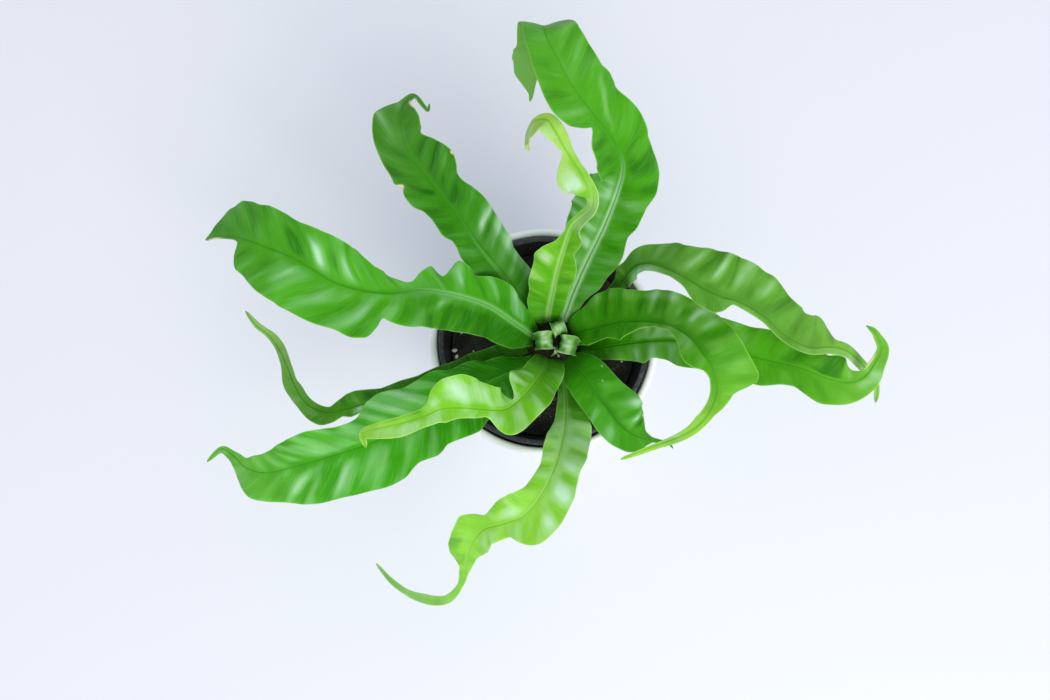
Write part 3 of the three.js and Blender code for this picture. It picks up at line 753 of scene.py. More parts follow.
def sheet_faces(rows: int, columns: int) -> list[list[int]]:
    """The faces of a closed sheet: an upper grid, a lower grid and a rim.

    Args:
        rows: How many stations the grids have.
        columns: How many points a station has, from the right edge to the left.

    Returns:
        Quads, facing out. The upper grid's points come first.
    """
    low = rows * columns
    faces = []
    for i in range(rows - 1):
        for j in range(columns - 1):
            a = i * columns + j
            b = a + columns
            faces.append([a, b, b + 1, a + 1])
            faces.append([low + a, low + a + 1, low + b + 1, low + b])
        right = i * columns
        left = right + columns - 1
        faces.append([left, left + columns, low + left + columns, low + left])
        faces.append([right, low + right, low + right + columns, right + columns])
    last = (rows - 1) * columns
    for j in range(columns - 1):
        faces.append([j, j + 1, low + j + 1, low + j])
        faces.append([last + j, low + last + j, low + last + j + 1, last + j + 1])
    return faces


@dataclass(frozen=True)
class Ramp:
    """A smooth passage from start to end, while something that is followed goes from low to high."""

    low: float
    high: float
    start: float = 0.0
    end: float = 1.0

    def follow(self, value: bpy.types.NodeSocket, size: float = 1.0) -> dict[int, object]:
        """What a range node takes to follow a value, where low and high are given in units of a size."""
        return {0: value, 1: self.low * size, 2: self.high * size, 3: self.start, 4: self.end}


@dataclass(frozen=True)
class Grain:
    """A noise of a real size: how large its patches are, in mm, and how many finer noises lie on it."""

    size: float
    detail: float

    def over(self, place: bpy.types.NodeSocket) -> dict[str, object]:
        """What a noise node takes to spread the grain over a place in metres."""
        return {"Vector": place, "Scale": 1 / (self.size * MM), "Detail": self.detail}


class Recipe:
    """A material under construction: its nodes, each added and linked in one call."""

    def __init__(self, name: str) -> None:
        """Starts an empty node material.

        Args:
            name: The material's name.
        """
        self.material = bpy.data.materials.new(name)
        self.material.use_nodes = True
        self.tree = self.material.node_tree
        self.tree.nodes.clear()

    def node(
        self, kind: str, settings: dict[str, object], inputs: dict[int | str, object], out: int | str = 0
    ) -> bpy.types.NodeSocket:
        """Adds a node with its settings and links.

        Args:
            kind: The node's type, without its ShaderNode prefix.
            settings: Properties of the node, by name.
            inputs: What each input takes, by number or name: another node's output, or a plain value.
            out: The output that is wanted, by number or name.

        Returns:
            That output.
        """
        made = self.tree.nodes.new(f"ShaderNode{kind}")
        for key, value in settings.items():
            setattr(made, key, value)
        for key, value in inputs.items():
            if isinstance(value, bpy.types.NodeSocket):
                self.tree.links.new(value, made.inputs[key])
            else:
                made.inputs[key].default_value = value
        return made.outputs[out] if made.outputs else None

    def finish(self, shader: bpy.types.NodeSocket) -> bpy.types.Material:
        """Links the shader to the material's output and returns the material."""
        self.node("OutputMaterial", {}, {"Surface": shader})
        return self.material


@dataclass(frozen=True)
class LeafTissue:
    """A fern's leaf: soft green tissue under a waxy skin, drawn out in ridges along its side veins.

    Light goes a little way in and comes out yellower. Each ridge is painted paler and each trough darker, as
    painted highlight and painted shade, a painted sheen stands for the wax's reflection of the sky, and the
    underside is paler and dull.
    """

    # The greens: base, middle and tip along the blade; shade for blotches and for the painted shade in each
    # trough; light for the vein lines and for the painted highlight on each ridge; then the midrib's near and
    # far colours.
    base: str
    middle: str
    tip: str
    shade: str
    light: str
    rib: str
    rib_far: str
    # A painted sheen: the pale colour that stands for the wax's reflection of the sky.
    painted_sheen: str = "#CAECD2"
    edge: str = "#9CCB62"
    under: str = "#79AD58"
    dry: str = "#D8C89A"

    # How clearly each shows, from 0 to 1
    under_clear: float = 0.6
    dry_clear: float = 0.85
    ridge_highlight: float = 0.34
    trough_shade: float = 0.84
    hem: float = 0.3
    rib_clear: float = 0.45
    thread: float = 0.3

    # Sizes in mm: half the midrib's width at the base and far out, and the gaps and depths of the patterns
    rib_half: tuple[float, float] = (1.15, 0.3)
    vein_gap: float = 1.1
    vein_length: float = 9.0
    fold_gap: float = 7.5
    fold_length: float = 14.0
    fold_depth: float = 0.6
    pore_depth: float = 0.06

    # Between which shares of the length the midrib darkens, and how rough the skin is above and beneath
    rib_turn: tuple[float, float] = (0.3, 0.6)
    sheen: float = 0.34
    sheen_spread: float = 0.12
    dullness: float = 0.56

    # How clear the shine is through the wax, and how much light goes in and how deep its colours go, in mm
    ior: float = 1.42
    waxy: float = 0.12
    glow: float = 0.2
    glow_depth: tuple[float, float, float] = (0.35, 0.9, 0.12)

    # How much folds sway the painted light and shade and veins streak the painted sheen, and how high veins
    # stand beside the pores
    fold_pull: float = 1.3
    vein_pull: float = 0.3
    vein_height: float = 1.5

    # Blotches across the blade, and pores, drawn coarser than they are so that they show
    MOTTLE = Grain(18.0, 3.0)
    PORES = Grain(0.5, 2.0)

    # Where each colour comes in. The painted highlight on each ridge, the painted shade in each trough and
    # the painted sheen follow the blade's painted tone, vein lines the noise.
    MIDDLE = Ramp(0.0, 0.42)
    TIP = Ramp(0.55, 1.0)
    BLOTCH = Ramp(0.42, 0.72, 0.0, 0.3)
    RIDGE = (0.5, 1.1)
    TROUGH = (0.5, -0.5)
    PAINTED_SHEEN_RAMP = Ramp(1.1, 2.6, 0.0, 0.78)
    VEIN_LINE = Ramp(0.45, 0.7)
    OFF_RIB = Ramp(0.8, 3.0, 0.0, 0.12)
    RIB_SPAN = (0.0, 0.8)
    RIB_EDGE = (1.5, 0.4)
    THREAD_EDGE = (0.45, 0.1)
    HEM = (0.5, 0.1)
    SCAR = (0.2, 0.9)
    GLOSS = (0.3, 0.75)

    def make(self, name: str) -> bpy.types.Material:
        """Builds the material. It reads the blade's painted flow, tone and skin.

        Args:
            name: The material's name.

        Returns:
            The finished leaf material.
        """
        recipe = Recipe(name)
        node = recipe.node
        flow, tone, skin = (
            node("Attribute", {"attribute_name": key}, {}, "Vector") for key in (FLOW, TONE, SKIN)
        )
        vein, signed, edge = (node("SeparateXYZ", {}, {0: flow}, k) for k in range(3))
        # Its tone's second part, named relief here, is the blade's painted light and shade.
        along, relief, own = (node("SeparateXYZ", {}, {0: tone}, k) for k in range(3))
        under, dry = (node("SeparateXYZ", {}, {0: skin}, k) for k in range(2))
        place = node("TexCoord", {}, {}, OBJECT_SPACE)
        mottle = node("TexNoise", {}, self.MOTTLE.over(place), "Fac")
        pores = node("TexNoise", {}, self.PORES.over(place), "Fac")
        folds = self._drawn_out(recipe, (vein, signed, own), (self.fold_gap, self.fold_length), 1.0)
        lines = self._drawn_out(recipe, (vein, signed, own), (self.vein_gap, self.vein_length), 2.0)

        # Fold noise sways the painted light and shade about its own mean, and vein lines draw the painted
        # sheen out along the veins
        uneven = node("Math", {"operation": "MULTIPLY_ADD"}, {0: folds, 1: self.fold_pull, 2: relief})
        uneven = node("Math", {"operation": "SUBTRACT"}, {0: uneven, 1: self.fold_pull / 2})
        sheen_streaks = node("Math", {"operation": "MULTIPLY_ADD"}, {0: lines, 1: self.vein_pull, 2: uneven})

        # Side veins, a hair apart: faint paler lines that fade near the midrib
        off_rib = node("Math", {"operation": "ABSOLUTE"}, {0: signed})
        clear = node("MapRange", SMOOTH, self.OFF_RIB.follow(off_rib))
        fine = node("MapRange", SMOOTH, self.VEIN_LINE.follow(lines))
        faint = node("Math", {"operation": "MULTIPLY"}, {0: fine, 1: clear})

        # Midrib: pale, broad and grooved near the base, a dark thread further out
        turn = node("MapRange", SMOOTH, Ramp(*self.rib_turn).follow(along))
        rib_color = node("Mix", MIX_COLOR, {0: turn, 6: linear(self.rib), 7: linear(self.rib_far)}, 2)
        half = node("MapRange", SMOOTH, Ramp(*self.RIB_SPAN, *self.rib_half).follow(along))
        within = node("Math", {"operation": "DIVIDE"}, {0: off_rib, 1: half})

        # The colours, from the tissue to the painted highlight, shade and sheen, the veins, the thin pale
        # hem, the underside and the scars
        back = node("Math", {"operation": "MULTIPLY"}, {0: under, 1: self.under_clear})
        layers = (
            (self.MIDDLE, along, self.middle),
            (self.TIP, along, self.tip),
            (self.BLOTCH, mottle, self.shade),
            (Ramp(*self.RIDGE, 0.0, self.ridge_highlight), uneven, self.light),
            (Ramp(*self.TROUGH, 0.0, self.trough_shade), uneven, self.shade),
            (self.PAINTED_SHEEN_RAMP, sheen_streaks, self.painted_sheen),
            (None, faint, self.light),
            (Ramp(*self.RIB_EDGE, 0.0, self.rib_clear), within, rib_color),
            (Ramp(*self.THREAD_EDGE, 0.0, self.thread), within, self.rib_far),
            (Ramp(*self.HEM, 0.0, self.hem), edge, self.edge),
            (None, back, self.under),
            (Ramp(*self.SCAR, 0.0, self.dry_clear), dry, self.dry),
        )
        color = linear(self.base)
        for ramp, value, coat in layers:
            share = node("MapRange", SMOOTH, ramp.follow(value)) if ramp else value
            over = linear(coat) if isinstance(coat, str) else coat
            color = node("Mix", MIX_COLOR, {0: share, 6: color, 7: over}, 2)

        # Skin: folds along the veins, the veins themselves, and pores between them too fine to see singly
        folded = {"Strength": 1.0, "Distance": self.fold_depth * MM, "Height": folds}
        swell = node("Bump", {}, folded, "Normal")
        rough = node("Math", {"operation": "MULTIPLY_ADD"}, {0: lines, 1: self.vein_height, 2: pores})
        grain = {"Strength": 0.4, "Distance": self.pore_depth * MM, "Height": rough, "Normal": swell}
        normal = node("Bump", {}, grain, "Normal")
        sheen = Ramp(*self.GLOSS, self.sheen, self.sheen + self.sheen_spread)
        gloss = node("MapRange", SMOOTH, sheen.follow(mottle))
        dull = node("Mix", {}, {0: under, 2: gloss, 3: self.dullness}, 0)
        shader = node(
            "BsdfPrincipled",
            {"subsurface_method": "RANDOM_WALK"},
            {
                "Base Color": color,
                "Roughness": dull,
                "Normal": normal,
                "IOR": self.ior,
                "Specular IOR Level": self.waxy,
                "Subsurface Weight": self.glow,
                "Subsurface Radius": self.glow_depth,
                "Subsurface Scale": MM,
            },
        )
        return recipe.finish(shader)

    @staticmethod
    def _drawn_out(
        recipe: Recipe, lie: tuple[bpy.types.NodeSocket, ...], size: tuple[float, float], detail: float
    ) -> bpy.types.NodeSocket:
        """Draws noise out along the veins.

        Args:
            recipe: The material that it goes into.
            lie: The place along a vein, the distance from the midrib and the blade's own shift.
            size: How many mm a line is across, and how long it is.
            detail: How many finer noises lie on it.

        Returns:
            The noise, from 0 to 1.
        """
        vein, signed, own = lie
        across = recipe.node("Math", {"operation": "MULTIPLY"}, {0: vein, 1: 1 / size[0]})
        out = recipe.node("Math", {"operation": "MULTIPLY"}, {0: signed, 1: 1 / size[1]})
        place = recipe.node("CombineXYZ", {}, {0: across, 1: out, 2: own})
        return recipe.node("TexNoise", {}, {"Vector": place, "Scale": 1.0, "Detail": detail}, "Fac")


@dataclass(frozen=True)
class WhiteGlaze:
    """Earthenware under a white glaze, dipped and fired.

    The glaze is glassy and a little uneven, whiter at the lip as a painted highlight on the rim, and the foot
    is wiped bare.
    """

    glaze: str = "#F6F9FD"
    cool: str = "#F1F5FA"
    # The lip's colour is whiter as a painted highlight on the rim.
    lip: str = "#FBFCFE"
    clay: str = "#DDD6C8"
    lip_height: float = 98.0
    lip_blend: float = 2.0
    foot_height: float = 0.9
    wiped_height: float = 0.54
    peel_depth: float = 0.12
    clay_roughness: float = 0.8
    ior: float = 1.52

    POOL = Grain(22.0, 3.0)
    PEEL = Grain(1.6, 1.0)
    THICK = Ramp(0.35, 0.7)
    GLOSS = Ramp(0.3, 0.7, 0.1, 0.2)

    def make(self) -> bpy.types.Material:
        """Builds the material.

        Returns:
            The finished glaze.
        """
        recipe = Recipe("white_glaze")
        node = recipe.node
        place = node("TexCoord", {}, {}, OBJECT_SPACE)
        height = node("SeparateXYZ", {}, {0: place}, "Z")
        pool = node("TexNoise", {}, self.POOL.over(place), "Fac")
        speck = node("TexNoise", {}, self.PEEL.over(place), "Fac")
        thick = node("MapRange", SMOOTH, self.THICK.follow(pool))
        # Painted light: the glaze is whiter towards the lip, a painted highlight on the rim.
        lit_lip_band = Ramp(self.lip_height, self.lip_height + self.lip_blend)
        thin = node("MapRange", SMOOTH, lit_lip_band.follow(height, MM))
        bare = node("MapRange", SMOOTH, Ramp(self.foot_height, self.wiped_height).follow(height, MM))
        color = linear(self.glaze)
        for share, coat in ((thick, self.cool), (thin, self.lip), (bare, self.clay)):
            color = node("Mix", MIX_COLOR, {0: share, 6: color, 7: linear(coat)}, 2)
        gloss = node("MapRange", {}, self.GLOSS.follow(pool))
        gloss = node("Mix", {}, {0: bare, 2: gloss, 3: self.clay_roughness}, 0)
        peel = node("Math", {"operation": "MULTIPLY_ADD"}, {0: speck, 1: 0.25, 2: pool})
        peel = {"Strength": 0.3, "Distance": self.peel_depth * MM, "Height": peel}
        skin = {"Roughness": gloss, "Normal": node("Bump", {}, peel, "Normal"), "IOR": self.ior}
        return recipe.finish(node("BsdfPrincipled", {}, {"Base Color": color, **skin}))


@dataclass(frozen=True)
class NurseryPolythene:
    """Recycled black polyethylene, blow-moulded thin, as nurseries pot in.

    It is a dark grey with a faint satin shine, lighter along the rim from scuffs and a painted highlight,
    and dusty with soil inside it.
    """

    body: str = "#26282C"
    # The rim's scuffs, made paler as a painted highlight.
    rim_scuff_and_sheen: str = "#5E646B"
    dust: str = "#2E2620"
    rim_height: float = 99.5
    scuff_drop: float = 6.0
    dust_drop: float = 9.0
    scratch_flatness: float = 6.0
    scratch_depth: float = 0.08
    ior: float = 1.51

    CLOUD = Grain(7.0, 4.0)
    SCRATCH = Grain(2.2, 3.0)
    SCRATCHED = Ramp(0.5, 0.72, 0.0, 0.6)
    CRUSTED = Ramp(0.4, 0.65, 0.0, 0.8)
    GLOSS = Ramp(0.3, 0.7, 0.36, 0.55)

    def make(self) -> bpy.types.Material:
        """Builds the material.

        Returns:
            The finished plastic.
        """
        recipe = Recipe("nursery_polythene")
        node = recipe.node
        place = node("TexCoord", {}, {}, OBJECT_SPACE)
        height = node("SeparateXYZ", {}, {0: place}, "Z")
        stretched = node("Mapping", {}, {"Vector": place, "Scale": (1.0, 1.0, self.scratch_flatness)})
        cloud = node("TexNoise", {}, self.CLOUD.over(place), "Fac")
        scratch = node("TexNoise", {}, self.SCRATCH.over(stretched), "Fac")
        # Scuffs near the rim, lightened further as a painted highlight along it.
        near_rim = Ramp(self.rim_height - self.scuff_drop, self.rim_height, 0.3, 1.0).follow(height, MM)
        inside = Ramp(self.rim_height, self.rim_height - self.dust_drop).follow(height, MM)
        color = linear(self.body)
        for pattern, where, coat in (
            (self.SCRATCHED.follow(scratch), near_rim, self.rim_scuff_and_sheen),
            (self.CRUSTED.follow(cloud), inside, self.dust),
        ):
            shown, there = node("MapRange", SMOOTH, pattern), node("MapRange", SMOOTH, where)
            share = node("Math", {"operation": "MULTIPLY"}, {0: shown, 1: there})
            color = node("Mix", MIX_COLOR, {0: share, 6: color, 7: linear(coat)}, 2)
        gloss = node("MapRange", {}, self.GLOSS.follow(cloud))
        scored = {"Strength": 0.3, "Distance": self.scratch_depth * MM, "Height": scratch}
        skin = {"Roughness": gloss, "Normal": node("Bump", {}, scored, "Normal"), "IOR": self.ior}
        return recipe.finish(node("BsdfPrincipled", {}, {"Base Color": color, **skin}))


@dataclass(frozen=True)
class PeatMix:
    """Damp peat with bark fibre and perlite, sieved and firmed in.

    Nearly black where wet, brown where a crumb has dried, with a rare white grain.
    """

    wet: str = "#11100E"
    damp: str = "#221F1A"
    dry: str = "#50483D"
    perlite: str = "#DADDDC"
    grit_depth: float = 0.4

    CLOUD = Grain(6.0, 4.0)
    GRIT = Grain(0.9, 3.0)
    SPECK = Ramp(0.55, 0.75, 0.0, 0.5)
    GLOSS = Ramp(0.3, 0.7, 0.6, 0.95)

    def make(self) -> bpy.types.Material:
        """Builds the material. It reads each crumb's painted tone: whether it is perlite, and how dry it is.

        Returns:
            The finished peat mix.
        """
        recipe = Recipe("peat_mix")
        node = recipe.node
        place = node("TexCoord", {}, {}, OBJECT_SPACE)
        tone = node("Attribute", {"attribute_name": TONE}, {}, "Vector")
        white, dryness = (node("SeparateXYZ", {}, {0: tone}, k) for k in range(2))
        cloud = node("TexNoise", {}, self.CLOUD.over(place), "Fac")
        grit = node("TexNoise", {}, self.GRIT.over(place), "Fac")
        speck = node("MapRange", SMOOTH, self.SPECK.follow(grit))
        color = linear(self.wet)
        layers = ((cloud, self.damp), (speck, self.dry), (dryness, self.dry), (white, self.perlite))
        for share, coat in layers:
            color = node("Mix", MIX_COLOR, {0: share, 6: color, 7: linear(coat)}, 2)
        rough = {"Strength": 0.8, "Distance": self.grit_depth * MM, "Height": grit}
        gloss = node("MapRange", {}, self.GLOSS.follow(grit))
        skin = {"Roughness": gloss, "Normal": node("Bump", {}, rough, "Normal")}
        return recipe.finish(node("BsdfPrincipled", {}, {"Base Color": color, **skin}))


@dataclass(frozen=True)
class PaperyScales:
    """The dry brown scales that clothe a fern's crown.

    Thin and papery, nearly black at the foot and rust brown at the tip, with fine lengthwise lines.
    """

    foot: str = "#0F0D08"
    body: str = "#2A2412"
    tip: str = "#5E522A"
    line_gap: float = 0.35
    line_depth: float = 0.08

    FLECK = Grain(1.4, 3.0)
    DRY_TIP = Ramp(0.3, 1.0, 0.0, 0.7)
    GLOSS = Ramp(0.3, 0.7, 0.5, 0.8)

    def make(self) -> bpy.types.Material:
        """Builds the material. It reads each scale's painted tone: its length's share and its own shade.

        Returns:
            The finished scales.
        """
        recipe = Recipe("papery_scales")
        node = recipe.node
        tone, flow = (node("Attribute", {"attribute_name": key}, {}, "Vector") for key in (TONE, FLOW))
        along, own = (node("SeparateXYZ", {}, {0: tone}, k) for k in range(2))
        across = node("SeparateXYZ", {}, {0: flow}, 1)
        place = node("TexCoord", {}, {}, OBJECT_SPACE)
        fleck = node("TexNoise", {}, self.FLECK.over(place), "Fac")
        dry = node("MapRange", SMOOTH, self.DRY_TIP.follow(along))
        dry = node("Math", {"operation": "MULTIPLY"}, {0: dry, 1: fleck})
        color = linear(self.foot)
        for share, coat in ((own, self.body), (dry, self.tip)):
            color = node("Mix", MIX_COLOR, {0: share, 6: color, 7: linear(coat)}, 2)
        turns = node("Math", {"operation": "MULTIPLY"}, {0: across, 1: math.tau / self.line_gap})
        lines = node("Math", {"operation": "SINE"}, {0: turns})
        rough = node("Math", {"operation": "MULTIPLY_ADD"}, {0: lines, 1: 0.3, 2: fleck})
        rough = {"Strength": 0.5, "Distance": self.line_depth * MM, "Height": rough}
        gloss = node("MapRange", {}, self.GLOSS.follow(fleck))
        skin = {"Roughness": gloss, "Normal": node("Bump", {}, rough, "Normal")}
        return recipe.finish(node("BsdfPrincipled", {}, {"Base Color": color, **skin}))


@dataclass(frozen=True)
class StudioFloor:
    """A plain pale floor, matt and a little cool."""

    color: str = "#E1E4EB"

    GLOSS = Ramp(0.0, 1.0, 0.5, 0.6)

    def make(self) -> bpy.types.Material:
        """Builds the material.

        Returns:
            The finished floor.
        """
        recipe = Recipe("studio_floor")
        node = recipe.node
        place = node("TexCoord", {}, {}, OBJECT_SPACE)
        cloud = node("TexNoise", {}, {"Vector": place, "Scale": 3.0}, "Fac")
        gloss = node("MapRange", {}, self.GLOSS.follow(cloud))
        skin = {"Base Color": linear(self.color), "Roughness": gloss}
        return recipe.finish(node("BsdfPrincipled", {}, skin))


def dressed(piece: bpy.types.Object, node: str) -> bpy.types.Object:
    """Puts a finished piece in the place of its CAD node.

    Args:
        piece: The piece's object.
        node: The CAD node that it stands for.

    Returns:
        The same object.
    """
    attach(piece, BODY)
    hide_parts(node)
    return piece


@dataclass
class CoverPot:
    """The round white cover pot, thrown smooth, with a rounded lip."""

    height: float = 100.0
    rim_radius: float = 54.5
    foot_radius: float = 43.0
    wall: float = 3.6
    floor: float = 8.0
    lip: float = 1.8
    chamfer: float = 1.5
    lip_steps: int = 16
    around: int = 160
    sharp_angle: float = 50.0

    def build(self) -> bpy.types.Object:
        """Makes the pot and dresses it.

        Returns:
            The pot's object.
        """
        maker = MeshMaker()
        maker.add(*revolved(self._outline(), self.around))
        piece = maker.make("cover_pot", WhiteGlaze().make())
        piece.data.set_sharp_from_angle(angle=math.radians(self.sharp_angle))
        return dressed(piece, "pot")

    def _outline(self) -> list[tuple[float, float]]:
        """Draws the pot's outline, from the axis underneath, out, up and back down inside.

        Returns:
            Radius and height of each point.
        """
        middle = self.rim_radius - self.wall / 2
        foot = self.foot_radius - self.wall
        lip = [
            (middle + self.wall / 2 * math.cos(turn), self.height - self.lip + self.lip * math.sin(turn))
            for turn in (math.pi * i / self.lip_steps for i in range(self.lip_steps + 1))
        ]
        outside = [
            (0.0, 0.0, 0.0),
            (self.foot_radius - self.chamfer, 0.0, 0.6),
            (self.foot_radius, self.chamfer, 1.2),
        ]
        inside = [
            (foot, self.floor + self.chamfer * 2, 4.0),
            (foot - self.chamfer * 2, self.floor, 2.0),
            (0.0, self.floor, 0.0),
        ]
        below = rounded([*outside, (lip[0][0], lip[0][1], 0.0)])[:-1]
        above = rounded([(lip[-1][0], lip[-1][1], 0.0), *inside])[1:]
        return [*below, *lip, *above]


@dataclass
class NurseryPot:
    """The thin black pot that the fern grows in, with its stiff rolled rim and its drain holes."""

    rim_radius: float = 50.0
    rim_top: float = 101.0
    rim_drop: float = 7.0
    rim_flare: float = 1.3
    bead_start: float = 0.8
    bead: float = 2.0
    bead_step: float = 0.4
    ledge: float = 0.35
    ledge_drop: float = 2.6
    foot: float = 8.3
    foot_radius: float = 35.0
    wall: float = 1.2
    drain_holes: int = 6
    drain_radius: float = 4.0
    drain_circle: float = 25.0
    drill_reach: float = 4.0
    around: int = 144
    sharp_angle: float = 40.0

    def radius(self, height: float) -> float:
        """The radius of the outer wall at a height, in mm."""
        share = (height - self.foot) / (self.rim_top - self.foot)
        return lerp(self.foot_radius, self.rim_radius - self.rim_flare, share)

    def build(self) -> bpy.types.Object:
        """Makes the pot and dresses it.

        Returns:
            The pot's object.
        """
        maker = MeshMaker()
        maker.add(*revolved(self._outline(), self.around))
        piece = maker.make("nursery_pot_shell", NurseryPolythene().make())
        self._pierce(piece)
        piece.data.set_sharp_from_angle(angle=math.radians(self.sharp_angle))
        return dressed(piece, "nursery_pot")

    def _outline(self) -> list[tuple[float, float]]:
        """Draws the pot's outline, with a bead along the rim's lower edge and a step inside it.

        Returns:
            Radius and height of each point.
        """
        under = self.rim_top - self.rim_drop
        inner = self.radius(self.rim_top) - self.wall
        # Radius, height and how far each corner is rounded.
        corners = [
            (0.0, self.foot, 0.0),
            (self.radius(self.foot), self.foot, 1.0),
            (self.radius(under), under, 0.3),
            (self.rim_radius, under + self.bead_start, 0.6),
            (self.rim_radius, under + self.bead, 0.3),
            (self.rim_radius - self.bead_step, under + self.bead + self.bead_step, 0.3),
            (self.rim_radius - self.bead_step, self.rim_top - self.bead - self.bead_step, 0.3),
            (self.rim_radius, self.rim_top - self.bead, 0.3),
            (self.rim_radius, self.rim_top, 0.9),
            (inner, self.rim_top, 0.5),
            (inner - self.ledge, self.rim_top - self.ledge_drop, 0.4),
            (self.radius(under) - self.wall, under, 0.5),
            (self.radius(self.foot + self.wall) - self.wall, self.foot + self.wall, 1.0),
            (0.0, self.foot + self.wall, 0.0),
        ]
        return rounded(corners, 4)

    def _pierce(self, piece: bpy.types.Object) -> None:
        """Cuts the drain holes through the floor.

        Args:
            piece: The pot's object, which is changed.
        """
        maker = MeshMaker()
        far, reach = self.drain_radius, self.drill_reach
        points, faces = revolved([(0.0, -reach), (far, -reach), (far, reach), (0.0, reach)], 32)
        for k in range(self.drain_holes):
            turn = math.tau * k / self.drain_holes
            place = (self.drain_circle * math.cos(turn), self.drain_circle * math.sin(turn), self.foot)
            maker.add(points + place, faces)
        drill = maker.make("drill", piece.data.materials[0])
        cut = piece.modifiers.new("drains", "BOOLEAN")
        cut.operation = "DIFFERENCE"
        cut.object = drill
        bpy.context.view_layer.update()
        carved = bpy.data.meshes.new_from_object(piece.evaluated_get(bpy.context.evaluated_depsgraph_get()))
        piece.modifiers.remove(cut)
        piece.data = carved
        bpy.data.objects.remove(drill)


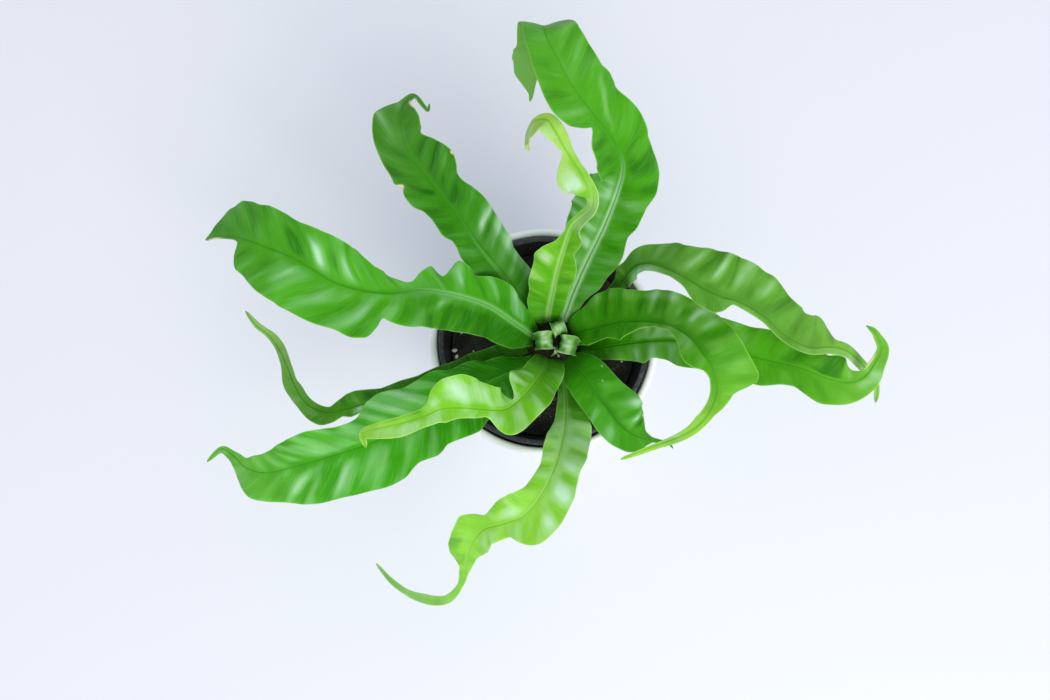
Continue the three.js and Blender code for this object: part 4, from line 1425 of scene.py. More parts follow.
@dataclass
class PottingSoil:
    """The peat mix: a firmed body whose top follows the model's lumps, with crumbs and grains on it."""

    pot: NurseryPot
    level: float = 88.0
    edge: float = 84.0
    relief: float = 1.1
    grain: float = 5.5
    gap: float = 0.3
    sunk: float = 0.35
    around: int = 150
    rings: int = 64
    hole: tuple[float, float, float] = (5.0, 0.0, 13.9)
    hole_floor: float = 71.7
    hole_taper: float = 2.5
    crumbs: int = 900
    crumb_size: tuple[float, float] = (0.45, 1.5)
    crumb_margin: float = 2.2
    crumb_seed: int = 404

    # White grains that the photograph shows, and a few more among the stalks: x, y and radius in mm.
    PERLITE = (
        (-43.5, -3.5, 1.2), (-42.3, -6.5, 1.0), (-39.5, 5.5, 1.1), (-36.0, 5.0, 0.6), (-27.5, 3.8, 0.8),
        (-34.0, -4.0, 0.5), (31.0, -18.0, 0.6), (38.0, -9.0, 0.5), (3.0, -36.0, 0.5), (-12.0, 34.0, 0.5),
        (22.0, 33.0, 0.6),
    )

    # The fine lumps: how high they are, how many times finer than the model's, and their noise.
    FINE = ((0.45, 3.1, SmoothNoise(71)), (0.25, 7.3, SmoothNoise(72)))

    # A crumb's outline before its lumps, and how its shape, size and dryness vary.
    CRUMB = ((0.0, -1.0), (0.6, -0.8), (1.0, 0.0), (0.7, 0.7), (0.0, 1.0))
    CRUMB_SIDES = 7
    STRETCH = (0.65, 1.35)
    FLATNESS = 0.75
    LUMP = 0.18
    LIFT = 0.15
    DRIEST = 0.7

    def build(self) -> bpy.types.Object:
        """Makes the soil and dresses it.

        Returns:
            The soil's object.
        """
        maker = MeshMaker(TONE)
        self._add_body(maker)
        self._add_crumbs(maker)
        piece = maker.make("peat_soil", PeatMix().make())
        return dressed(piece, "soil")

    def surface(self, x: np.ndarray, y: np.ndarray) -> np.ndarray:
        """Works out the soil's top: the model's lumps, and finer ones on them.

        Args:
            x: Places in mm.
            y: Places in mm.

        Returns:
            The height at each place, in mm.
        """
        u = np.asarray(x, float) / self.grain
        v = np.asarray(y, float) / self.grain
        lumps = np.sin(u + 1.3) * np.cos(v) + 0.7 * np.sin(0.8 * u - 1.4 * v)
        grit = 0.6 * np.cos(2.1 * u + 1.1 * v)
        fine = sum(height * noise.at(u * finer, v * finer) for height, finer, noise in self.FINE)
        return self.level - self.sunk + self.relief * (lumps + grit) * 0.9 + fine

    def _add_body(self, maker: MeshMaker) -> None:
        """Adds the firmed body, with a hole for the crown's foot.

        Args:
            maker: The mesh that it goes into.
        """
        bottom = self.pot.foot + self.pot.wall + self.gap
        turns = np.arange(self.around) * math.tau / self.around
        ring = np.stack([np.cos(turns), np.sin(turns)], axis=1)
        hole_x, hole_y, hole_radius = self.hole
        outer = self.pot.radius(self.edge) - self.pot.wall - self.gap
        foot = self.pot.radius(bottom) - self.pot.wall - self.gap
        rings = [self._ring(ring * foot, bottom), self._ring(ring * outer, self.edge)]
        for i in range(self.rings + 1):
            share = i / self.rings
            place = ring * lerp(outer, hole_radius, share) + np.array((hole_x, hole_y)) * share
            rings.append(np.column_stack([place, self.surface(place[:, 0], place[:, 1])]))
        within = ring * (hole_radius - self.hole_taper) + np.array((hole_x, hole_y))
        rings.append(self._ring(within, self.hole_floor))
        ends = np.array([(0.0, 0.0, bottom), (hole_x, hole_y, self.hole_floor)])
        maker.add(np.concatenate([*rings, ends]), ring_faces(len(rings), self.around))

    @staticmethod
    def _ring(places: np.ndarray, height: float) -> np.ndarray:
        """A level ring of points."""
        return np.column_stack([places, np.full(len(places), height)])

    def _add_crumbs(self, maker: MeshMaker) -> None:
        """Scatters crumbs of peat and grains of perlite, half sunk in the top.

        Args:
            maker: The mesh that they go into.
        """
        draw = np.random.default_rng(self.crumb_seed)
        outer = self.pot.radius(self.edge) - self.pot.wall - self.crumb_margin
        for _ in range(self.crumbs):
            turn = draw.uniform(0.0, math.tau)
            far = outer * math.sqrt(draw.uniform(0.08, 1.0))
            size = lerp(*self.crumb_size, draw.uniform() ** 3)
            self._add_crumb(maker, draw, (far * math.cos(turn), far * math.sin(turn), size), 0.0)
        for grain in self.PERLITE:
            self._add_crumb(maker, draw, grain, 1.0)

    def _add_crumb(
        self, maker: MeshMaker, draw: np.random.Generator, grain: tuple[float, float, float], white: float
    ) -> None:
        """Adds one rough grain.

        Args:
            maker: The mesh that it goes into.
            draw: Where its lumps come from.
            grain: Its place across the top and its radius, in mm.
            white: 1 for perlite, 0 for peat.
        """
        x, y, size = grain
        points, faces = revolved(self.CRUMB, self.CRUMB_SIDES)
        stretch = draw.uniform(*self.STRETCH, 3) * (1.0, 1.0, self.FLATNESS)
        points = points * stretch * (1.0 + draw.uniform(-self.LUMP, self.LUMP, (len(points), 1)))
        turn = draw.uniform(0.0, math.tau)
        spun = np.column_stack([
            points[:, 0] * math.cos(turn) - points[:, 1] * math.sin(turn),
            points[:, 0] * math.sin(turn) + points[:, 1] * math.cos(turn),
            points[:, 2],
        ])
        height = float(self.surface(x, y)) + size * self.LIFT
        tone = np.tile((white, float(draw.uniform() ** 3) * self.DRIEST, 0.0), (len(points), 1))
        maker.add(spun * size + (x, y, height), faces, {TONE: tone})


@dataclass
class Crown:
    """The short stem in the middle: a blunt dome shingled with dry scales."""

    x: float = 5.0
    y: float = 0.0
    radius: float = 13.5
    neck: float = 10.8
    top: float = 102.0
    root: float = 72.0
    soil: float = 88.0
    bluntness: float = 0.8
    scales: int = 1300
    scale_length: tuple[float, float] = (3.2, 6.5)
    scale_width: tuple[float, float] = (0.5, 1.1)
    scale_lean: float = 0.9
    scale_lifted: tuple[float, float] = (0.05, 0.32)
    scale_reach: float = 2.5
    scale_seed: int = 517
    thickness: float = 0.09
    under_scales: float = 0.9
    beside_scales: float = 0.7
    bark: float = 0.35
    bark_seed: int = 88
    dome_rings: int = 14
    around: int = 60

    # A scale's outline: shares of its length, and of its half width there.
    OUTLINE = ((0.0, 0.5), (0.25, 1.0), (0.55, 0.8), (0.8, 0.45), (1.0, 0.06))

    def build(self) -> bpy.types.Object:
        """Makes the crown and dresses it.

        Returns:
            The crown's object.
        """
        maker = MeshMaker(TONE, FLOW)
        self._add_stem(maker)
        draw = np.random.default_rng(self.scale_seed)
        for _ in range(self.scales):
            self._add_scale(maker, draw)
        piece = maker.make("scaly_crown", PaperyScales().make())
        return dressed(piece, "crown")

    def _add_stem(self, maker: MeshMaker) -> None:
        """Adds the dome and its neck in the soil.

        Args:
            maker: The mesh that they go into.
        """
        outline = [(0.0, self.root), (self.neck, self.root), (self.neck, self.soil - 6.0)]
        outline += [self._dome_ring(math.pi / 2 * i / self.dome_rings) for i in range(self.dome_rings)]
        outline.append((0.0, self.top - self.under_scales))
        points, faces = revolved(outline, self.around)
        x, y, z = points.T
        rough = SmoothNoise(self.bark_seed).at(x * 0.9, y * 0.9 + z * 0.5) * self.bark
        out = unit(points * (1.0, 1.0, 0.0))
        maker.add(points + out * rough[:, None] + (self.x, self.y, 0.0), faces)

    def _add_scale(self, maker: MeshMaker, draw: np.random.Generator) -> None:
        """Adds one narrow scale, lying on the dome with its tip up and a little off it.

        Args:
            maker: The mesh that it goes into.
            draw: Where its place and size come from.
        """
        turn = draw.uniform(0.0, math.tau)
        lift = math.asin(draw.uniform(0.05, 1.0)) * 0.97
        length = draw.uniform(*self.scale_length) * (1.0 - 0.45 * math.sin(lift))
        width = draw.uniform(*self.scale_width)
        place, out = self._dome_point(turn, lift)
        upward = unit(np.array((0.0, 0.0, 1.0)) - out * out[2] + np.array((1e-6, 0.0, 0.0)))
        lean = draw.uniform(-self.scale_lean, self.scale_lean) * (0.4 + lift)
        upward = unit(upward * math.cos(lean) + np.cross(out, upward) * math.sin(lean))
        across = np.cross(upward, out)
        lifted = draw.uniform(*self.scale_lifted)
        stations = []
        for share, half in self.OUTLINE:
            middle = place + upward * length * share + out * (0.15 + length * lifted * share**1.6)
            middle = middle - out * (length * share) ** 2 * 0.03
            stations.append([
                middle + across * width / 2 * half * k + out * 0.12 * (1 - abs(k)) for k in (-1, 0, 1)
            ])
        upper = np.array(stations)
        lower = upper - out * self.thickness
        count = upper.size // 3
        shares = np.repeat([share for share, _ in self.OUTLINE], 3)
        own = np.full(count, draw.uniform())
        none = np.zeros(count)
        sideways = np.tile((-width / 2, 0.0, width / 2), len(stations))
        tone = np.tile(np.column_stack([shares, own, none]), (2, 1))
        flow = np.tile(np.column_stack([none, sideways, none]), (2, 1))
        points = np.concatenate([upper.reshape(-1, 3), lower.reshape(-1, 3)])
        points[:, 2] = np.minimum(points[:, 2], self.top + self.scale_reach)
        maker.add(points, sheet_faces(len(stations), 3), {TONE: tone, FLOW: flow})

    def _dome_point(self, turn: float, lift: float) -> tuple[np.ndarray, np.ndarray]:
        """Finds a place on the dome.

        Args:
            turn: How far round it is.
            lift: How far up it is, as the angle that the way out makes.

        Returns:
            The point and the direction out of the dome there.
        """
        radius, height = self._dome_ring(lift)
        around = np.array((math.cos(turn), math.sin(turn), 0.0))
        point = around * radius + (self.x, self.y, height)
        rise = self.top - self.under_scales - self.soil
        out = unit(around * math.cos(lift) * rise + np.array((0.0, 0.0, math.sin(lift) * self.radius)))
        return point, out

    def _dome_ring(self, lift: float) -> tuple[float, float]:
        """The dome's radius and height at a lift."""
        radius = (self.radius - self.beside_scales) * math.cos(lift) ** self.bluntness
        return radius, self.soil + (self.top - self.under_scales - self.soil) * math.sin(lift)


class Age(Enum):
    """How far a frond has grown: what sets its relief apart."""

    GROWN = "frond"
    YOUNG = "young_frond"


@dataclass(frozen=True)
class Frond:
    """One frond: the node that it stands for, its age, its tissue, its blade and its marks."""

    node: str
    age: Age
    tissue: LeafTissue
    shape: BladeShape
    marks: BladeMarks

    RELIEF = {Age.GROWN: BladeRelief(), Age.YOUNG: BladeRelief(crisp=0.2, frill=0.2, tissue=0.5)}

    def build(self, seed: int) -> bpy.types.Object:
        """Makes the frond and dresses it.

        Args:
            seed: What its corrugations start from.

        Returns:
            The frond's object.
        """
        maker = MeshMaker(FLOW, TONE, SKIN)
        Blade(self.shape, self.RELIEF[self.age], seed, self.marks).add_to(maker)
        piece = maker.make(self.node.replace("frond", "blade"), self.tissue.make(f"{self.node}_tissue"))
        return dressed(piece, self.node)


# The twelve fronds, clockwise from the photograph's top, and how far apart their noises start.
# Midrib rows are points. Left and right rows are a place along the midrib and the half width there.
# Each frond's greens are partly its own colour and partly painted light and shade, darker on fronds that lie
# in shade and paler on fronds in the light.
SEED_STEP = 10
# Each frond's lie and each painted band on it are painted light: highlights and shade laid along its halves
# and veins.
FRONDS: tuple[Frond, ...] = (
    Frond(
        "frond_north", Age.GROWN,
        LeafTissue(
            "#3A930C", "#459B0D", "#5D9D39", "#277305", "#86C171", "#B4DDAE", "#40921D",
            # under is the underside's paler green, made paler still as painted light on the curled tip's
            # underside.
            rib_half=(1.9, 0.4), rib_turn=(0.36, 0.52), rib_clear=0.8, thread=0.7, under="#78B850",
            under_clear=1.0,
        ),
        BladeShape(
            fold=(24, 12), rise=1.2,
            crests_left=(28, 58, 84, 112, 154, 184), crests_right=(30, 58, 82, 120, 150, 186),
            midrib=rows("""9 9 94, 11 14 103, 13 19 112, 18 29 130, 25 41 155, 29 52 182, 26 57 195,
        21 61 204, 15 64 213, 8 69 222, 2 77 228, -2 85 229, -2.3 91 224, -2.6 92.5 214,
        -3.4 91.8 202, -5 89 189, -7 85 176"""),
            left=rows("""0 3, 10 7, 20 8, 45 11, 60 14, 66 16, 78 16.5, 87 14, 93 13.5, 98 13,
        103 11.8, 112 12.8, 118 12.5, 121 11.5, 124 11, 128 10.2, 131 8.6, 133.5 3.6, 137 7.3, 143 11,
        149 12.6, 155 11, 160 10, 166 8.3, 172 7.5, 178 8, 182 9, 188 9, 196 9.3, 206 11, 214 11,
        219 9, 224 .8"""),
            right=rows("""0 3, 10 5, 20 6, 28 7.8, 36 10.7, 50 12.8, 62 13, 69 11.5, 76 12.5, 90 13,
        97 15.3, 103 14.6, 108 12.4, 114 12.2, 122 13.3, 130 13.6, 136 14.4, 142 14, 150 11.6, 160 12,
        170 12.2, 176 11, 181 9, 187 8, 195 5.4, 203 2.8, 210 1.1, 217 .8, 224 .8"""),
        ),
        BladeMarks(
            slant=(0.6, 0.8),
            lie=rows("""0 .2 .3, 20 .2 .3, 50 .6 .3, 90 .7 .1, 104 0 -.4, 125 -.4 0, 145 0 -.1,
        158 -.1 -.4, 176 .3 .1, 192 .1 -.2, 226 .2 -.1"""),
            streaks=marks_of(PaintedStreak, """52 9 1 .8 0 .6 .8, 86 24 1 .5 0 .5 1.5, 96 3 1 -.9 .2 .8 1.6,
        118 9 1 -.3 .3 1.2 .5, 60 5 -1 -.6 0 1 .3, 83 7 -1 .4 .2 1 .5, 92 4 -1 -.5 .5 1.2 .5,
        105 6 -1 -.7 0 1.1 .1, 122 7 -1 .8 0 .95 2.2, 134 4 -1 .4 .3 .95 2, 45 110 -1 .5 -.1 .35 0"""),
        ),
    ),
    Frond(
        "frond_north_young", Age.YOUNG,
        LeafTissue(
            "#43A60F", "#73BC26", "#A7D03D", "#48920E", "#C0D995", "#A4D47A", "#7EBD39", edge="#CCDFB3",
            # under is the underside's paler green, made paler still as painted light on the curled tip's
            # underside.
            under="#C2E466", thread=0.1, rib_half=(1.6, 0.5), rib_clear=0.7, rib_turn=(0.5, 0.7),
            under_clear=0.8,
        ),
        BladeShape(
            fold=(26, 12), rise=0.9,
            crests_left=(20, 42, 60, 90, 118, 138, 160), crests_right=(26, 50, 74, 104, 136, 160),
            midrib=rows("""2 9 95, 2 12 105, 3 16 121, 5 24 142, 8 32 156, 10 36 165, 14 38 172,
        17 39 179, 17 42 186, 13 47 194, 9 50 201, 5 54 206, 2 58 210, -1 62 211, -5 63 208,
        -7 63 202, -8 63 193, -8 62 183"""),
            left=rows("""0 3, 10 8.5, 25 10.5, 45 11, 57 11, 61 9, 65 4.5, 72 2, 85 2.5, 98 2.6,
        101 3.5, 106 6.5, 110 8.6, 115 11, 119 11.4, 121.5 9, 123 4, 124.5 1.6, 130 3, 133 4.5, 137 5,
        142 7, 147 7, 152 6, 160 4.6, 166 2, 172 .7"""),
            right=rows("""0 3, 10 6, 25 7, 45 8, 55 8.5, 62 5, 67 6.5, 73 6.5, 79 4, 86 3, 98 2.5,
        115 2, 122 2.4, 128 3.5, 134 3.5, 139 2.3, 144 1.6, 149 1.8, 154 2, 160 2.2, 166 1.6, 172 .7"""),
        ),
        BladeMarks(
            slant=(0.6, 0.6),
            lie=rows("""0 0 .2, 8 -.2 0, 30 -.2 -.4, 56 0 -.4, 70 -.3 -.2, 82 .2 .8, 95 .8 .8,
        102 .2 .3, 136 .5 .4, 156 .9 .8"""),
            streaks=marks_of(PaintedStreak, """52 8 1 .8 .2 1 .6, 112 12 1 1.5 .1 1.1 .2,
        46 14 -1 .5 .7 1.3 0, 64 5 -1 -.5 0 1 0, 133 8 1 .4 0 1.1 0, 62 4 1 -.4 0 .8 .3"""),
        ),
    ),
    Frond(
        "frond_northwest", Age.GROWN,
        LeafTissue("#297C07", "#34810E", "#407822", "#165604", "#6AA657", "#7CBC64", "#2B7612"),
        BladeShape(
            fold=(22, 6), rise=1.1,
            crests_left=(40, 64, 88, 111, 131, 150), crests_right=(34, 58, 90, 115, 146),
            midrib=rows("""-3 8 89, -7 12 97, -12 18 108, -20 26 124, -29 33 144, -37 41 164,
        -45 48 181, -52 55 193, -55 62 200, -55 69 201, -54 74 199, -51 78 196, -48 76 192,
        -46.5 75 190, -46 78 189"""),
            left=rows("""0 3, 15 6, 45 8, 62 9.2, 71 9.3, 76 8, 81 8, 89 10, 98 9.5, 105 10, 111 12,
        116 12, 118.8 9.5, 120.5 12.2, 124 11, 131 10.6, 137 10.7, 141 10.8, 144 7, 146 2.4, 149 1.6,
        163 .6"""),
            right=rows("""0 3, 15 7.5, 30 11.5, 50 12.5, 62 13.5, 68 14.6, 75 15, 82 14, 90 12.8,
        95 12.2, 100 11.2, 105 11.2, 110 12.4, 115 13.6, 120 13, 127 11, 131 8, 133 7, 136 8, 141 7,
        146 3.5, 149 1.6, 163 .6"""),
        ),
        BladeMarks(
            slant=(1.2, 0.9),
            lie=rows("""0 0 .2, 40 .1 .4, 66 .2 .4, 85 .2 .1, 100 -.4 -.6, 112 .1 -.4, 125 -.3 -.4,
        135 .1 -.3, 145 .5 .3"""),
            streaks=marks_of(PaintedStreak, """72 7 -1 .7 .2 .9 .9, 104 8 -1 .8 .35 1.1 1,
        94 6 -1 -.4 0 .8 .8, 60 8 -1 .3 .1 .9 .9, 104 4 1 -.9 0 1 1.7, 92 6 1 .3 .2 1 1.5,
        80 5 1 -.3 .1 .9 1.3, 64 70 -1 .7 .55 1.3 0"""),
            scars=marks_of(Scar, """119 3 1 1.4, 115 2.4 -1 1.4, 147 6 -1 1.4"""),
        ),
    ),
    Frond(
        "frond_west", Age.GROWN,
        LeafTissue(
            "#348D0A", "#48A012", "#4B9C20", "#257306", "#86C47D", "#8CCB7A", "#328310",
            rib_half=(1.6, 0.5), rib_turn=(0.3, 0.55), rib_clear=0.6,
        ),
        BladeShape(
            fold=(24, 6), rise=1.3,
            crests_left=(22, 56, 88, 124, 148, 172), crests_right=(40, 66, 83, 112, 136, 164, 200),
            midrib=rows("""-4 1 94, -8 3 104, -15 6 115, -25 10 131, -38 11 149, -51 10 164,
        -64 6 176, -79 7 188, -94 15 194, -108 21 191, -119 26 184, -130 29 175, -138 30 167"""),
            left=rows("""0 3, 10 7, 20 11.5, 34 13.8, 55 15.6, 70 16.8, 90 17, 98 16, 103 12.5,
        106 10, 108 14, 112 18.9, 117 19.2, 122 17.2, 127 17.5, 132 18.4, 137 19.2, 143 18, 151 15.8,
        160 13.2, 163 12.4, 166 9.4, 167.5 6, 169.5 2, 173 1.2, 196 .7"""),
            right=rows("""0 3, 10 5.5, 20 8.3, 32 11.5, 48 12.5, 55 11, 62 12.5, 69 14, 70.8 10.2,
        73.5 6.6, 77.5 8, 82 9.7, 86 7, 89 3.5, 92 3.4, 97 6.3, 103 8.7, 110 9.4, 115 11.8, 120 14.8,
        126 15.7, 132 14.6, 138 13.4, 145 13.3, 152 15, 160 15, 165 13.8, 170 14.6, 175 15.2, 180 14,
        184 11.4, 188 7, 192 2.6, 196 .7"""),
        ),
        BladeMarks(
            slant=(0.8, 1),
            lie=rows("""0 -1 -.5, 30 -1.2 0, 60 -.9 .1, 80 -.7 .2, 95 .1 .3, 140 .1 0, 150 .2 -.1,
        165 -.2 -.3, 190 -.2 -.3"""),
            streaks=marks_of(PaintedStreak, """66 8 1 1.2 .05 .8 2, 55 90 1 1.2 -.1 .45 0,
        107 5 1 .4 .1 1 .8, 122 5 1 .3 .1 1 .8, 138 5 1 .8 0 .8 .7, 147 5 1 -.7 0 .75 .7,
        96 7 1 -.3 0 .6 1, 19 12 -1 1.1 .15 1.2 1.3, 61 5 -1 .9 .2 1.1 .6, 68 4 -1 -.5 .1 1 .6,
        99 5 -1 -.4 0 .5 .6, 109 4 -1 -.6 0 .8 .9, 116 5 -1 .8 0 .85 1.1, 123 3 -1 -.4 0 .7 1,
        130 5 -1 1.3 0 .85 1, 139 6 -1 -1 0 .85 1.1, 148 4 -1 .3 .1 .8 1"""),
            scars=marks_of(Scar, """188 14 1 1"""),
        ),
    ),
    Frond(
        "frond_west_low", Age.GROWN,
        LeafTissue("#2A6F0D", "#468F16", "#95CB64", "#205C09", "#9DC485", "#4F8C34", "#2F6F12"),
        BladeShape(
            fold=(20, 8), rise=0.7,
            crests_left=(30, 55, 80, 101, 117, 139, 160), crests_right=(38, 66, 97, 125, 158),
            midrib=rows("""-6 -1 87, -12 -3 93, -21 -8 100, -34 -15 108, -48 -19 114, -61 -24 113,
        -76 -29 108, -93 -33 100, -104 -34 95, -113 -30 93, -119 -22 92, -124 -12 90, -129 -3 87,
        -136 5 82, -144 11 78, -151 19 73"""),
            left=rows("""0 3, 15 5, 30 6, 85 5.5, 95 3.5, 101 4.5, 106 3, 111 5, 116 6.5, 121 6,
        128 4.3, 137 5, 142 4.5, 150 2.5, 160 1.5, 180 1.2, 192 .7"""),
            right=rows("""0 3, 15 5, 30 6.2, 37 6.8, 43 5.6, 50 4.6, 63 3.5, 72 4.5, 82 4.5, 89 6,
        96 7, 102 6.5, 108 4.5, 113 2.5, 126 3, 135 3, 140 2, 148 2.4, 158 3.2, 166 3.2, 173 2.2,
        182 2, 192 .7"""),
        ),
        BladeMarks(
            slant=(0.5, 0.5),
            lie=rows("""0 0 0, 60 -.3 -.6, 85 .3 -.6, 96 .2 0, 108 -.1 -.3, 118 0 0, 140 .2 .3,
        190 .1 .1"""),
            streaks=marks_of(PaintedStreak, """96 7 1 .8 0 .9 .3, 88 7 -1 -.7 .1 1 .2, 108 5 1 -.3 0 1 .3,
        118 8 1 .4 0 .8 .3"""),
        ),
    ),
    Frond(
        "frond_southwest", Age.GROWN,
        LeafTissue("#2C8707", "#3EA20C", "#70BA43", "#257806", "#9EDF8C", "#6EB44A", "#2D840E"),
        BladeShape(
            fold=(22, 5), rise=1.1,
            crests_left=(36, 62, 82, 101, 130, 155), crests_right=(44, 64, 92, 127, 160),
            midrib=rows("""-3 -8 89, -9 -13 97, -21 -20 112, -33 -28 124, -49 -39 138, -63 -47 147,
        -80 -54 153, -100 -60 154, -114 -63 150, -124 -61 145, -131 -56 141, -138 -53 136,
        -147 -58 127"""),
            left=rows("""0 3, 12 5.5, 30 10, 50 14.5, 62 16.5, 70 15.5, 76 14.5, 83 16.3, 89 15.6,
        96 18.8, 104 19.2, 115 18.8, 127 17, 136 15.5, 146 12.4, 153 10.6, 158 7.4, 163 4, 170 2.5,
        182 1.5, 191 .7"""),
            right=rows("""0 3, 12 5.5, 30 9.5, 50 13.5, 65 16, 80 16.5, 94 17.2, 100 16, 105 12,
        110 11, 116 11, 127 11.9, 136 11.3, 141 10.6, 146 9.3, 151 7.7, 157 6, 163 3, 172 1.5, 191 .7"""),
        ),
        BladeMarks(
            slant=(0.7, 1.5),
            lie=rows("""0 -.8 -1, 30 0 -.9, 62 0 -.2, 75 .1 .4, 100 .2 .5, 125 .2 .3, 150 .1 .1,
        165 .3 .1, 190 .1 0"""),
            streaks=marks_of(PaintedStreak, """100 4 1 .5 .1 1 .8, 111 5 1 .8 .1 1 .7, 119 4 1 -.4 .1 1 .7,
        127 6 1 1.1 .1 .9 .9, 138 5 1 -.4 .1 1 .8, 84 24 -1 .5 .3 1.2 0, 99 4 -1 .7 0 1 1.7,
        104 3 -1 -.5 0 1 1.7, 110 4 -1 .6 0 1 1.7, 120 4 -1 .8 0 .95 1.7, 126 4 -1 -.4 0 .95 1.7,
        131 4 -1 .5 0 .95 1.6"""),
        ),
    ),
    Frond(
        "frond_southwest_young", Age.YOUNG,
        LeafTissue(
            "#378B06", "#7AC726", "#8DC844", "#448F0C", "#C7E8BE", "#8CC850", "#74B032", edge="#C8E889",
            under="#A7D26A", hem=0.4, thread=0.05, rib_clear=0.35,
        ),
        BladeShape(
            fold=(24, 10), rise=1.3,
            crests_left=(18, 40, 60, 90, 113), crests_right=(18, 42, 60, 84, 110),
            midrib=rows("""2 -8 94, 1 -11 102, -1 -17 113, -6 -25 124, -12 -32 132, -17 -36 138,
        -22 -37 144, -28 -37 150, -37 -37 157, -43 -38 161, -49 -41 165, -57 -44 169, -66 -46 169,
        -73 -48 164, -73 -53 156"""),
            left=rows("""0 3, 10 8, 22 9.8, 40 11, 55 11.5, 61 12, 65 9.5, 67 5, 69 3, 74 4, 83 4.5,
        92 6, 96 5, 102 4.5, 111 5.5, 118 4.5, 125 3, 136 .8"""),
            right=rows("""0 3, 10 6.5, 22 8, 31 8.5, 38 10.5, 42 11, 45 8.5, 46.5 4, 49 2, 51 2, 53 6,
        55 8.5, 63 9, 70 11, 77 12.5, 84 13, 90 11.5, 93.5 8, 95 4.5, 99 3, 112 2.5, 125 1.8, 136 .8"""),
        ),
        BladeMarks(
            slant=(0.5, 0.5),
            lie=rows("""0 -.3 .1, 30 -.1 .1, 50 .2 .5, 75 .2 .2, 100 .2 0, 122 .1 .1, 136 -.5 -.5"""),
            streaks=marks_of(PaintedStreak, """80 22 -1 .9 .1 .95 .4, 42 10 -1 .4 .4 1.2 0,
        20 20 -1 -.3 .3 1.1 0, 108 22 1 .3 .1 1 0, 110 24 -1 -.5 .4 1.3 0, 62 8 1 .2 .1 .9 .3"""),
        ),
    ),
    Frond(
        "frond_south", Age.GROWN,
        LeafTissue(
            "#389C04", "#88CD39", "#8EC36E", "#499717", "#C4EBAD", "#B4DC84", "#7CBB4C", edge="#D3EEA3",
            thread=0.05, rib_clear=0.35,
        ),
        BladeShape(
            fold=(22, 6), rise=1.1,
            crests_left=(34, 62, 90, 120, 150, 178), crests_right=(28, 52, 92, 122, 152),
            midrib=rows("""6 -10 88, 9 -18 94, 10 -28 101, 9 -42 113, 5 -57 127, -1 -70 136,
        -9 -80 139, -18 -84 136, -27 -87 130, -33 -95 118, -36 -105 106, -39 -114 97, -47 -121 90,
        -61 -120 84, -72 -114 80, -81 -106 76"""),
            left=rows("""0 3, 15 5, 31 8, 42 12.2, 48 13, 54 12.3, 60 11.8, 66 10.8, 71 11.8, 76 13.4,
        82 13.3, 88 13.5, 94 13.2, 97 10.8, 101 6.5, 104 6.3, 108 7, 120 8.3, 130 6.8, 138 4.2, 150 2,
        158 1.5, 168 2.5, 180 2.5, 192 1.7, 200 1.7, 212 .7"""),
            right=rows("""0 3, 10 2.8, 22 3.6, 38 5, 50 7.2, 58 7.6, 68 6.3, 76 7, 84 7.6, 88 9.2,
        93 10.6, 100 10.5, 106 8.5, 110.5 5, 113 7.5, 117 11, 121 9.8, 127 9.8, 133 10, 138 8,
        141.5 5, 145 2.7, 158 1.3, 167 1.6, 182 2.2, 194 1.2, 212 .7"""),
        ),
        BladeMarks(
            slant=(0.3, 0.5),
            lie=rows("""0 0 0, 25 -.2 .2, 45 .7 .7, 60 .6 .5, 80 .3 0, 120 .2 0, 135 -.2 -.4,
        165 -.2 -.4, 180 .1 .1"""),
            streaks=marks_of(PaintedStreak, """30 14 1 -.3 .2 1.2 .2, 63 5 1 .8 .1 .95 .3,
        69 4 1 -.4 .2 1 .3, 76 8 1 1.3 .15 1 .2, 81.5 3 1 -.3 .2 1 .2, 87 5 1 1.1 .35 1.05 .2,
        97 12 -1 1.1 0 .7 .5, 130 16 -1 -.5 .3 1.2 0, 112 8 1 .4 .1 .9 .4, 48 60 1 .4 -.1 .4 0,
        48 60 -1 .4 -.1 .4 0"""),
        ),
    ),
    Frond(
        "frond_southeast", Age.GROWN,
        LeafTissue(
            "#2E8607", "#3A910D", "#4D902A", "#1E6903", "#65BB3E", "#3F8A26", "#2D7311",
            rib_half=(0.8, 0.5), thread=0.3,
        ),
        BladeShape(
            fold=(20, 4), rise=0.8,
            crests_left=(24, 46, 66), crests_right=(22, 44, 64),
            midrib=rows("""10 -8 94, 13 -12 102, 17 -17 109, 22 -25 113, 28 -33 114, 34 -41 113,
        40 -45 108, 47 -47 102, 55 -48 95, 59 -48 91, 62 -51 88"""),
            left=rows("""0 3, 10 7.1, 20 10.4, 31 12, 43 14.3, 50 13.5, 56 12.5, 61 10.5, 63 7,
        66 3.5, 72 1.5, 80 .9, 89 .6"""),
            right=rows("""0 3, 10 6, 20 9.2, 32 10, 52 9.8, 59 8.8, 64 6.5, 69 3, 73 1, 89 .6"""),
        ),
        BladeMarks(
            slant=(0.4, 0.4),
            lie=rows("""0 .5 .4, 15 -.1 -.1, 25 -.2 -.3, 40 .4 .6, 55 .4 .3, 64 -.6 0, 89 -.3 0"""),
            streaks=marks_of(PaintedStreak, """30 7 1 .4 .1 .8 .3, 46 20 1 .5 .55 1.2 0, 50 5 1 .7 .3 .9 .7,
        57 4 1 -.6 .2 .9 .5, 40 18 -1 .2 .3 1.1 .2"""),
            scars=marks_of(Scar, """60 4.5 1 2.2, 23 1 1 .6 1.8, 29 1.2 1 .7 6"""),
        ),
    ),
    Frond(
        "frond_east", Age.GROWN,
        LeafTissue(
            "#409F0F", "#459812", "#B9EB55", "#246E04", "#87C854", "#2C7412", "#388616", edge="#BAEB63",
            rib_half=(0.8, 0.5), rib_clear=0.35, thread=0.15, hem=0.35,
        ),
        BladeShape(
            fold=(22, 4), rise=1,
